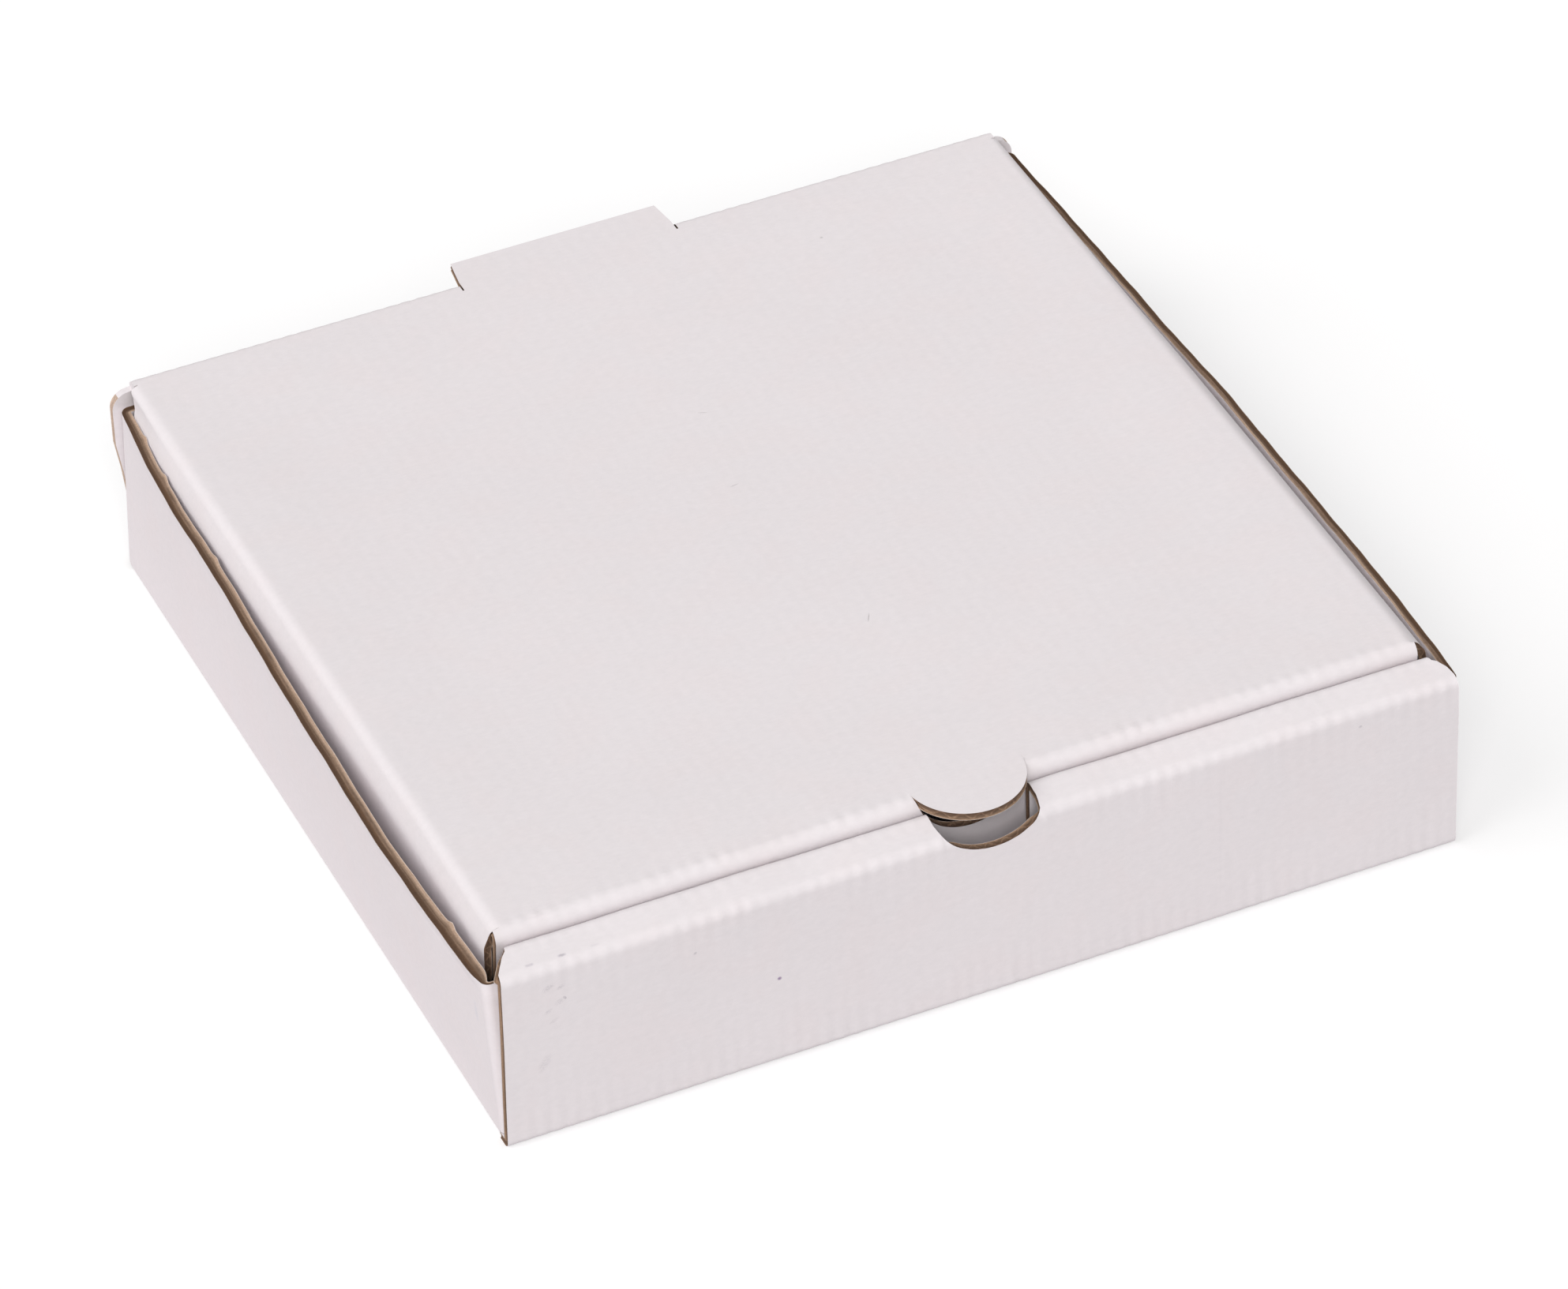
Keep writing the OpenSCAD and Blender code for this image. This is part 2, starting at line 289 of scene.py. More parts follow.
class FoldedSheet:
    """One closed mesh of folded board: two liners and the raw edge round every cut.

    The flat cut is a set of points (a, b, mark) with square cells. Folding takes the points and a
    depth. The raw edge joins both liners in even steps of depth, and is pressed in between them
    by the flutes: a wave across the thickness stays out, and the hollows beside it sink in.
    """

    RIM_STEPS = 8

    def __init__(self, name: str, flat: Array, cells: Array, fold: FoldRule, across: FlatRule,
                 seam: FlatRule, recess: float = 0.22) -> None:
        """Stores the flat cut and its rules.

        Args:
            name: name of the piece.
            flat: points of the flat cut, one row each.
            cells: indices of each cell's four corners.
            fold: gives the folded points from flat points and depths.
            across: distance across the flutes at flat points.
            seam: true where a cut's middle is a seam to another piece, which stays white and flat.
            recess: how far the hollows of the flutes sink into the raw edge.
        """
        self.name, self.fold, self.across, self.seam, self.recess = name, fold, across, seam, recess
        keys = np.round(flat, 4)
        _, first, inverse = np.unique(keys, axis=0, return_index=True, return_inverse=True)
        self.flat = flat[first]
        cells = inverse.reshape(-1)[cells]
        used, compact = np.unique(cells, return_inverse=True)
        self.flat, self.cells = self.flat[used], compact.reshape(-1, 4)

    @classmethod
    def from_grid(cls, name: str, a: Array, b: Array, mark: Array, keep: Array,
                  **rules: Any) -> "FoldedSheet":
        """Makes the sheet from a grid of rows and columns.

        Args:
            name: name of the piece.
            a: first flat coordinate at each grid point.
            b: second flat coordinate at each grid point.
            mark: third value at each grid point, which fold rules may read.
            keep: true for each cell that is kept.
            **rules: the other arguments of the class.

        Returns:
            The sheet.
        """
        rows, columns = a.shape
        index = np.arange(rows * columns).reshape(rows, columns)
        cells = np.stack([index[:-1, :-1], index[:-1, 1:], index[1:, 1:], index[1:, :-1]], axis=-1)[keep]
        return cls(name, np.stack([a.ravel(), b.ravel(), mark.ravel()], axis=1), cells, **rules)

    def _outline(self) -> Array:
        """Directed edges that belong to one cell only, as pairs of point indices.

        Returns:
            The edges, one row each.
        """
        c = self.cells
        edges = np.concatenate([c[:, [0, 1]], c[:, [1, 2]], c[:, [2, 3]], c[:, [3, 0]]])
        key = edges.min(1) * len(self.flat) + edges.max(1)
        _, inverse, count = np.unique(key, return_inverse=True, return_counts=True)
        return edges[count[inverse.reshape(-1)] == 1]

    def _flute(self, across: Array, share: Array) -> Array:
        """How far out the raw edge stands, from 0 in a hollow to 1 on a liner or on the wave.

        The wave runs at 0.5 + wave * sin(2 pi across / pitch) of the thickness.

        Args:
            across: distance across the flutes.
            share: depth as a share of the thickness.

        Returns:
            The value at each point.
        """
        wave = 0.5 + BOARD.wave * np.sin(2 * math.pi * across / BOARD.pitch)
        on_wave = 1 - smooth(0.05, 0.22, np.abs(share - wave))
        on_liner = 1 - smooth(0.03, 0.2, np.minimum(share, 1 - share))
        return np.maximum(on_wave, on_liner)

    def build(self) -> bpy.types.Object:
        """Folds the sheet and writes its mesh, with its material numbers and its two UV maps.

        Returns:
            The new object.
        """
        flat, cells, t = self.flat, self.cells, BOARD.thickness
        count = len(flat)
        edges = self._outline()
        rim, local = np.unique(edges, return_inverse=True)
        local = local.reshape(-1, 2)
        run = flat[edges[:, 1], :2] - flat[edges[:, 0], :2]
        run /= np.maximum(np.hypot(run[:, 0], run[:, 1]), 1e-9)[:, None]
        corner = flat[cells][:, :, :2]
        turned = np.roll(corner, -1, axis=1)
        hand = np.sign((corner[..., 0] * turned[..., 1] - corner[..., 1] * turned[..., 0]).sum())
        out = np.zeros((len(rim), 2))
        outward = np.stack([run[:, 1], -run[:, 0]], axis=1) * hand
        np.add.at(out, local[:, 0], outward)
        np.add.at(out, local[:, 1], outward)
        out /= np.maximum(np.hypot(out[:, 0], out[:, 1]), 1e-9)[:, None]
        middle = (flat[edges[:, 0]] + flat[edges[:, 1]]) / 2
        is_seam = self.seam(middle)
        held = np.zeros(len(rim), bool)
        held[local[is_seam].ravel()] = True

        layers = np.arange(1, self.RIM_STEPS) / self.RIM_STEPS
        shares = np.repeat(layers, len(rim))
        base = np.tile(flat[rim], (len(layers), 1))
        depth_in = self.recess * (1 - self._flute(self.across(base), shares)) * ~np.tile(held, len(layers))
        pressed = base.copy()
        pressed[:, :2] -= np.tile(out, (len(layers), 1)) * depth_in[:, None]
        all_flat = np.concatenate([flat, flat, pressed])
        share = np.concatenate([np.zeros(count), np.ones(count), shares])
        points = self.fold(all_flat, share * t) * MM

        ring = np.full((self.RIM_STEPS + 1, len(rim)), 0)
        ring[0], ring[-1] = rim, rim + count
        ring[1:-1] = 2 * count + np.arange(len(layers) * len(rim)).reshape(len(layers), len(rim))
        walls = np.stack([ring[:-1, local[:, 1]], ring[:-1, local[:, 0]], ring[1:, local[:, 0]],
                          ring[1:, local[:, 1]]], axis=-1).reshape(-1, 4)
        faces = np.concatenate([cells, cells[:, ::-1] + count, walls])
        wall_material = np.where(np.tile(is_seam, self.RIM_STEPS), Face.LINER.value, Face.RAW_EDGE.value)
        material = np.concatenate([np.zeros(2 * len(cells), int), wall_material])
        p = points[faces]
        volume = np.einsum("ij,ij->i", p[:, 0], np.cross(p[:, 1], p[:, 2])).sum() \
            + np.einsum("ij,ij->i", p[:, 0], np.cross(p[:, 2], p[:, 3])).sum()
        if volume < 0:
            faces = faces[:, ::-1]
        maps = {"board": np.stack([self.across(all_flat), share], axis=1), "plan": all_flat[:, :2]}
        return write_mesh(self.name, points, faces, material, maps)


def write_mesh(name: str, points: Array, faces: Array, material: Array,
               maps: dict[str, Array]) -> bpy.types.Object:
    """Puts points and faces into a new object at the origin.

    Args:
        name: name of the object and its mesh.
        points: corner points, in metres.
        faces: indices of each face's corners.
        material: material number of each face.
        maps: name of each UV map, and its value at every point.

    Returns:
        The new object.
    """
    mesh = bpy.data.meshes.new(name)
    mesh.from_pydata(points.tolist(), [], faces.tolist())
    mesh.update()
    mesh.polygons.foreach_set("use_smooth", np.ones(len(faces), bool))
    mesh.polygons.foreach_set("material_index", material.astype(np.int32))
    corners = np.zeros(len(mesh.loops), np.int32)
    mesh.loops.foreach_get("vertex_index", corners)
    for label, values in maps.items():
        layer = mesh.uv_layers.new(name=label)
        layer.uv.foreach_set("vector", values[corners].astype(np.float32).ravel())
    mesh.set_sharp_from_angle(angle=math.radians(SHARP_EDGE))
    mesh.update()
    piece = bpy.data.objects.new(name, mesh)
    bpy.context.scene.collection.objects.link(piece)
    return piece


def stretch(x: Array, anchor: Array, nominal: float, edge: Array) -> Array:
    """Moves the outer columns so that a nominal edge lands on the real one.

    Beyond the anchor, the distance from it is multiplied by (edge - anchor) / (nominal - anchor).

    Args:
        x: positions along the columns, on either side of 0.
        anchor: distance from 0 up to which nothing moves.
        nominal: distance of the edge in the grid.
        edge: distance at which the edge is wanted.

    Returns:
        The moved positions.
    """
    beyond = np.maximum(np.abs(x) - anchor, 0.0)
    return np.sign(x) * (np.minimum(np.abs(x), anchor) + beyond * (edge - anchor) / (nominal - anchor))


def swell(value: Array, centre: float, width: float) -> Array:
    """Bell curve exp(-((value - centre) / width)^2)."""
    return np.exp(-(((value - centre) / width) ** 2))


def flute_ripple(across: Array) -> Array:
    """Scallops of a liner that is drawn round a fold: a cosine of the flutes' pitch, uneven in height."""
    height = 1.0 + ripple(across, [(0.35, 31.0, 0.4), (0.25, 12.7, 1.9)])
    return height * np.cos(2 * math.pi * across / BOARD.pitch + 0.5 * np.sin(2 * math.pi * across / 47.0))


@dataclass
class TraySheet:
    """Back wall, bottom, front panel, rolled strip and inner front panel: one sheet, folded four times.

    The flat coordinates are x and the distance s along the outer face, from the back wall's top.

    Args:
        front_height: height of the front fold's outer line.
        strip_height: height of the rolled strip's inner line.
        strip_depth: depth of the rolled strip.
        roll: outer radius of the front fold.
        tuck_roll: outer radius of the strip's inner fold.
        loose: height at which the inner panel ends.
        wall_fold_y: half length of the side walls' bottom folds.
        inner_end: half width of the inner panel.
        lock_at: distance of the locking tabs from the middle.
        lock_half: half width of a locking tab.
        notch_x: middle of the thumb notch.
        notch_low: lowest point of the notch.
        notch_radius: radius of the notch.
        opening_half: half width of the opening in the strip and the inner panel.
        opening_low: height of that opening's lower edge.
        opening_corner: radius of its lower corners.
        opening_skew: how far its right side leans to the left.
        end_slant: how far the strip's left end is cut at a slant through the board.
        window_low: height of the back wall's window.
        foot_inset: how much narrower the back wall is at its foot.
        foot_heights: heights between which it widens.
        slant_x: range of x over which the slant sets in.
        bend_front: height below the notch over which the rows bend to it.
        bend_inner: height below the opening over which the rows bend to it.
        lip_front: height on the front from which the rows are fine.
        lip_inner: height on the inner panel down to which they are fine.
        still_half: distance from the middle up to which the columns keep their place.
        still_front_half: the same on the front, the strip and the inner panel.
        cell: widest step between columns.
        fine_row: widest step between fine rows.
        coarse_row: widest step between the others.
        section: the folded section, seen from the side.
    """

    front_height: float = 42.3
    strip_height: float = 44.3
    strip_depth: float = 8.9
    roll: float = 2.4
    tuck_roll: float = 1.9
    loose: float = 1.9
    wall_fold_y: float = 99.05
    inner_end: float = 97.6
    lock_at: float = 55.0
    lock_half: float = 10.0
    notch_x: float = 1.8
    notch_low: float = 37.5
    notch_radius: float = 13.9
    opening_half: float = 11.3
    opening_low: float = 30.0
    opening_corner: float = 3.0
    opening_skew: float = 0.7
    end_slant: float = 0.9
    window_low: float = 38.49
    foot_inset: float = 1.9
    foot_heights: tuple[float, float] = (18.0, 32.0)
    slant_x: tuple[float, float] = (-94.0, -99.0)
    bend_front: float = 4.0
    bend_inner: float = 5.0
    lip_front: float = 38.5
    lip_inner: float = 41.0
    still_half: float = 98.0
    still_front_half: float = 90.0
    cell: float = 0.56
    fine_row: float = 0.42
    coarse_row: float = 9.0
    section: Section = field(init=False)

    def __post_init__(self) -> None:
        """Works out the folded section."""
        front, inner = -BOX.half_depth, -BOX.half_depth + self.strip_depth
        self.section = Section(
            [(BOX.half_depth, BOX.seam_z), (BOX.half_depth, 0.0), (front, 0.0), (front, self.front_height),
             (inner, self.strip_height), (inner, self.loose)],
            [BOARD.fold, BOARD.fold, self.roll, self.tuck_roll])
        s = self.section
        self.strip_mid = s.reach(3, 0, front + self.strip_depth / 2)
        self.low_row = s.reach(2, 1, self.notch_low - self.bend_front)
        self.round_row = s.reach(4, 1, self.opening_low + self.opening_corner)
        self.deep_row = s.reach(4, 1, self.opening_low - self.bend_inner)
        self.end_row = s.reach(4, 1, self.loose)
        self.slot_rows = (s.reach(1, 0, inner + BOARD.gap),
                          s.reach(1, 0, inner - BOARD.thickness - BOARD.gap))
        self.side_rows = (s.reach(1, 0, self.wall_fold_y), s.reach(1, 0, -self.wall_fold_y))

    def _columns(self) -> Array:
        """Positions of the grid's columns.

        Returns:
            The sorted positions.
        """
        width, fold_start = BOX.half_width, BOX.half_width - BOARD.fold
        locks = [self.lock_at + side * (self.lock_half + space)
                 for side in (-1, 1) for space in (0.0, BOARD.gap)]
        halves = (width, fold_start, self.still_half, self.still_front_half, *locks, BOX.window_half)
        plain = [side * half for half in halves for side in (-1, 1)]
        # columns crowd at the ends of the arcs, which are steep there
        notch = [self.notch_x + side * (self.opening_half - back) for side in (-1, 1)
                 for back in (0.0, 0.08, 0.3, 0.65, self.opening_corner)]
        return graded([*plain, *notch], [], self.cell, self.cell)

    def _rows(self) -> Array:
        """Distances of the grid's rows along the outer face.

        Returns:
            The sorted distances.
        """
        s = self.section
        breaks = [0.0, s.reach(0, 1, self.window_low), s.reach(0, 1, BOX.back_top - BOX.back_corner),
                  *s.breaks(), *self.slot_rows, *self.side_rows, self.low_row, self.strip_mid,
                  self.round_row, s.reach(4, 1, self.opening_low), self.deep_row,
                  self.end_row, self.end_row + self.loose]
        lip = (s.reach(2, 1, self.lip_front), s.reach(4, 1, self.lip_inner))
        return graded(breaks, [lip, *s.fine(), (0.0, 4.0)], self.fine_row, self.coarse_row)

    def _edge(self, s: Array, side: int) -> Array:
        """Half width of the sheet at each row: straight lines through measured insets, and a round top.

        Args:
            s: distances along the outer face.
            side: -1 for the left, 1 for the right.

        Returns:
            The half width at each distance.
        """
        sec, width = self.section, BOX.half_width
        roll_start, roll_end = sec.bend_at(2)
        tuck_start, tuck_end = sec.bend_at(3)
        if side < 0:
            insets = [(sec.reach(2, 1, 4.0), 0.0), (sec.reach(2, 1, 12.0), 0.15),
                      (sec.reach(2, 1, 28.0), 0.5), (roll_start, 0.6), (roll_end, 0.95),
                      (sec.reach(3, 0, -97.6), 3.2), (tuck_start, 4.3), (tuck_end, width - self.inner_end)]
        else:
            insets = [(sec.reach(2, 1, 34.0), 0.0), (roll_end, 0.25), (sec.reach(3, 0, -99.0), 0.7),
                      (sec.reach(3, 0, -97.0), 1.9), (tuck_start, 2.9), (tuck_end, 3.6),
                      (tuck_end + 4.0, width - self.inner_end)]
        at, inset = np.asarray(insets).T
        front = width - np.interp(s, at, inset)
        _, z = sec.place(s, 0.0)
        rise = np.clip(z - (BOX.back_top - BOX.back_corner), 0.0, BOX.back_corner)
        top = width - BOX.back_corner + np.sqrt(BOX.back_corner**2 - rise**2)
        back = top - self.foot_inset * (1 - smooth(*self.foot_heights, z))
        return np.where(s < self.side_rows[0], back, front)

    def build(self) -> bpy.types.Object:
        """Lays out the cut and folds it.

        Rows bend to the notch's arc and to the opening's lower edge; cells in the cuts are left out.

        Returns:
            The piece.
        """
        columns, rows = self._columns(), self._rows()
        x, s = np.meshgrid(columns, rows)
        arc_s = np.linspace(self.low_row, self.strip_mid, 400)
        _, arc_z = self.section.place(arc_s, 0.0)
        off = np.clip(np.abs(x - self.notch_x), 0.0, self.opening_half)
        inside = np.abs(x - self.notch_x) < self.opening_half - 1e-6
        centre = self.notch_low + self.notch_radius
        arc = np.interp(centre - np.sqrt(self.notch_radius**2 - off**2), arc_z, arc_s)
        share = (s - self.low_row) / (self.strip_mid - self.low_row)
        under = inside & (share > -1e-4) & (share < 1 + 1e-4)
        rounded = np.clip(off - (self.opening_half - self.opening_corner), 0.0, self.opening_corner)
        drop = self.opening_corner - np.sqrt(self.opening_corner**2 - rounded**2)
        lower = self.section.reach(4, 1, self.opening_low) - drop
        rest = (self.deep_row - s) / (self.deep_row - self.round_row)
        beyond = inside & (rest > -1e-4) & (rest < 1 + 1e-4)
        warped = np.where(under, self.low_row + share * (arc - self.low_row), s)
        warped = np.where(beyond, self.deep_row - rest * (self.deep_row - lower), warped)
        free = (s < self.section.bend_at(0)[0] - 12.0) \
            | ((s > self.section.reach(2, 1, 28.0)) & (s < self.end_row + 9.0))
        anchor = np.where(free, self.still_front_half, self.still_half)
        edge = np.where(x < 0, self._edge(s, -1), self._edge(s, 1))
        x = stretch(x, anchor, BOX.half_width, edge)
        on_opening = smooth(self.strip_mid - 4.0, self.strip_mid + 1.0, s) \
            * (1 - smooth(self.round_row, self.deep_row, s))
        x = x - self.opening_skew * swell(x, self.notch_x + self.opening_half, 5.0) * on_opening

        middles = ((columns[:-1] + columns[1:]) / 2)[None, :]
        xm, off_notch = np.abs(middles), np.abs(middles - self.notch_x)
        sm = ((rows[:-1] + rows[1:]) / 2)[:, None]
        off_lock = np.abs(xm - self.lock_at)
        keep = ~((sm > self.end_row) & (off_lock > self.lock_half))
        in_bottom = (sm > self.side_rows[0]) & (sm < self.side_rows[1])
        in_slot = (sm > self.slot_rows[0]) & (sm < self.slot_rows[1])
        keep &= ~(in_bottom & (xm > BOX.half_width - BOARD.fold))
        keep &= ~(in_slot & (off_lock < self.lock_half + BOARD.gap))
        keep &= ~((sm < self.section.reach(0, 1, self.window_low)) & (xm < BOX.window_half))
        keep &= ~((sm > self.strip_mid) & (sm < self.round_row) & (off_notch < self.opening_half))
        sheet = FoldedSheet.from_grid("tray_sheet", x, warped, np.zeros_like(x), keep, fold=self._fold,
                                      across=lambda flat: flat[:, 0], seam=self._seam)
        return sheet.build()

    def _seam(self, middle: Array) -> Array:
        """True on the lines where the side walls and the hinge crease carry on."""
        side = (np.abs(np.abs(middle[:, 0]) - (BOX.half_width - BOARD.fold)) < 0.01) \
            & (middle[:, 1] > self.side_rows[0]) & (middle[:, 1] < self.side_rows[1])
        return side | (middle[:, 1] < NEAR)

    def _fold(self, flat: Array, depth: Array) -> Array:
        """Folds flat points: s runs round the section, with ripples on the outer face.

        The strip's left end is cut at a slant, so its inner face reaches further left.

        Args:
            flat: points (x, s, mark).
            depth: depth below the outer face.

        Returns:
            The folded points.
        """
        x, s = flat[:, 0], flat[:, 1]
        roll, tuck = self.section.bend_at(2), self.section.bend_at(3)
        lift = 0.055 * flute_ripple(x) * (swell(s, roll[0] + 0.8, 2.0) + 0.6 * swell(s, tuck[0], 1.6))
        lift += 0.05 * flute_ripple(x + 5.0) * swell(s, self.section.bend_at(1)[1], 2.0)
        lift += swell(s, (roll[1] + tuck[0]) / 2, 5.0) * ripple(x, [(0.12, 64.0, 0.8), (0.07, 23.0, 2.1)])
        middle = self.section.reach(2, 1, 20.0)
        lift += swell(s, middle, 16.0) * ripple(x, [(0.16, 120.0, 0.6), (0.06, 41.0, 1.0)])
        share = depth / BOARD.thickness
        y, z = self.section.place(s, depth - lift * (1 - share))
        on_strip = smooth(roll[0], roll[1], s) * (1 - smooth(tuck[1], tuck[1] + 3.0, s))
        x = x - self.end_slant * share * smooth(*self.slant_x, x) * on_strip
        return np.stack([x, y, z], axis=1)


@dataclass
class SideWall:
    """A side wall with its bottom fold and its two corner flaps, leaning out towards its raw top edge.

    The flat coordinates are the distance p round the corners, 0 at the wall's middle, and the
    distance q up from where the bottom fold starts. Both walls are worked out as the left one.

    Args:
        name: name of the piece.
        side: -1 for the left wall, 1 for the right one.
        lean: points of (y, distance that the top stands out).
        flare: points of (y, share by which the raw edge is thicker than the board).
        soft_corner: outer radius of the front corner at the top.
        height: height of the raw edge.
        flap_length: length of the corner flaps.
        inset: distance of the corners from the box's front and back faces.
        loose: height of the corner flaps' lower edges.
        foot: height from which the wall leans.
        nicks: places along the raw edge as (y, length, rise).
        lean_reach: distance over which the lean is averaged, on either side.
        flare_reach: the same for the flare.
        flare_height: height below the raw edge over which the flare sets in.
        flare_centre: share of the thickness that keeps its place as the edge flares.
        edge_height: height below the raw edge over which its waves set in.
        fine_height: height below the raw edge in which the rows are fine.
        corner_reach: length on either side of the front corner in which the columns are fine.
    """

    name: str
    side: int
    lean: Sequence[tuple[float, float]]
    flare: Sequence[tuple[float, float]]
    soft_corner: float = 1.85
    height: float = 40.5
    flap_length: float = 68.0
    inset: float = 2.1
    loose: float = 1.9
    foot: float = 2.7
    nicks: Sequence[tuple[float, float, float]] = ()
    lean_reach: float = 8.0
    flare_reach: float = 1.5
    flare_height: float = 3.2
    flare_centre: float = 0.35
    edge_height: float = 1.2
    fine_height: float = 3.5
    corner_reach: float = 3.0

    def __post_init__(self) -> None:
        """Works out the plan at the foot and at the top, and the bottom fold."""
        x, y = -BOX.half_width, BOX.half_depth - self.inset
        ends = [(x + self.flap_length, -y), (x, -y), (x, y), (x + self.flap_length, y)]
        self.low = Section(ends, [BOARD.fold, BOARD.fold])
        self.high = Section(ends, [self.soft_corner, BOARD.fold])
        self.mids = (self.low.reach(1, 1, 0.0), self.high.reach(1, 1, 0.0))
        self.ground = Section([(x + 8.0, 0.0), (x, 0.0), (x, 60.0)], [BOARD.fold])
        self.arc = self.ground.bend_at(0)[1] - self.ground.bend_at(0)[0]
        self.reach_end = self.low.knots[-1] - self.mids[0]
        self.front_bend = self.low.bend_at(0)[0] - self.mids[0]
        self.top = self.arc + self.height - BOARD.fold

    @staticmethod
    def _along(points: Sequence[tuple[float, float]], y: Array, reach: float) -> Array:
        """Straight lines through points of (y, value), averaged over a reach so that they run smoothly.

        Args:
            points: the points, in order of y.
            y: where the value is wanted.
            reach: distance on either side over which it is averaged.

        Returns:
            The value at each y.
        """
        at, value = np.asarray(points).T
        return sum(np.interp(y + share * reach, at, value) for share in (-1.0, -0.5, 0.0, 0.5, 1.0)) / 5

    def _lean_at(self, y: Array) -> Array:
        """How far the top stands out at each y, with a ripple."""
        return self._along(self.lean, y, self.lean_reach) + ripple(y, [(0.10, 57.0, 1.2), (0.05, 19.0, 0.3)])

    def _fold(self, flat: Array, depth: Array) -> Array:
        """Folds flat points: round the corners in plan, up from the bottom fold, and then leaning out.

        Args:
            flat: points of the flat sheet.
            depth: depth below the outer face.

        Returns:
            The folded points.
        """
        p, q = flat[:, 0], flat[:, 1]
        share = depth / BOARD.thickness
        height = q - self.arc + BOARD.fold
        out = np.clip((height - self.foot) / (self.height - self.foot), 0.0, 1.0)
        near_top = smooth(self.height - self.flare_height, self.height, height)
        on_wall = np.clip(p, -BOX.half_depth, BOX.half_depth)
        spread = 1 + near_top * self._along(self.flare, on_wall, self.flare_reach)
        inward = depth * spread - self.flare_centre * BOARD.thickness * (spread - 1)
        x0, y0 = self.low.place(p + self.mids[0], inward)
        x1, y1 = self.high.place(p + self.mids[1], inward)
        x, y = x0 + (x1 - x0) * out, y0 + (y1 - y0) * out
        x, z = self.ground.place(q + self.ground.bend_at(0)[0], x + BOX.half_width)
        fade = np.clip((self.reach_end - np.abs(p)) / (self.reach_end + self.front_bend), 0.0, 1.0)
        x = x - out * self._lean_at(y) * fade
        at_edge = smooth(self.height - self.edge_height, self.height, height)
        z = z + at_edge * ripple(y, [(0.10, 37.0, 0.5), (0.05, 8.3, 0.2)])
        for where, length, rise in self.nicks:
            bump = swell(y, where, length) * at_edge * share**2
            z = z + rise * bump
            x = x + 0.5 * rise * bump
        return np.stack([-self.side * x, y, z], axis=1)

    def _seam(self, middle: Array) -> Array:
        """True along the bottom fold's start, where the bottom panel carries on."""
        return middle[:, 1] < NEAR

    def build(self) -> bpy.types.Object:
        """Lays out the wall and its flaps and folds them.

        Returns:
            The piece.
        """
        bends = [v - self.mids[0] for i in (0, 1) for v in self.low.bend_at(i)]
        corner = (bends[0] - self.corner_reach, bends[1] + self.corner_reach)
        nick_at = [(where - 2 * length, where + 2 * length) for where, length, _ in self.nicks]
        p = graded([-self.reach_end, self.reach_end, *bends, *corner, *[v for ends in nick_at for v in ends]],
                   [corner, (bends[2], bends[3]), *nick_at], 0.22, 1.1)
        loose = self.arc + self.loose - BOARD.fold
        fine = self.top - self.fine_height
        q = graded([0.0, self.arc, loose, self.arc + self.foot - BOARD.fold, fine, self.top],
                   [(0.0, self.arc), (fine, self.top)], 0.3, 3.0)
        pp, qq = np.meshgrid(p, q)
        pm, qm = (p[:-1] + p[1:])[None, :] / 2, (q[:-1] + q[1:])[:, None] / 2
        keep = (np.abs(pm) < bends[2]) | (qm > loose)
        sheet = FoldedSheet.from_grid(self.name, pp, qq, np.zeros_like(pp), keep, fold=self._fold,
                                      across=lambda flat: flat[:, 1] + 0.35 * np.sin(flat[:, 0] / 9.0),
                                      seam=self._seam)
        return sheet.build()


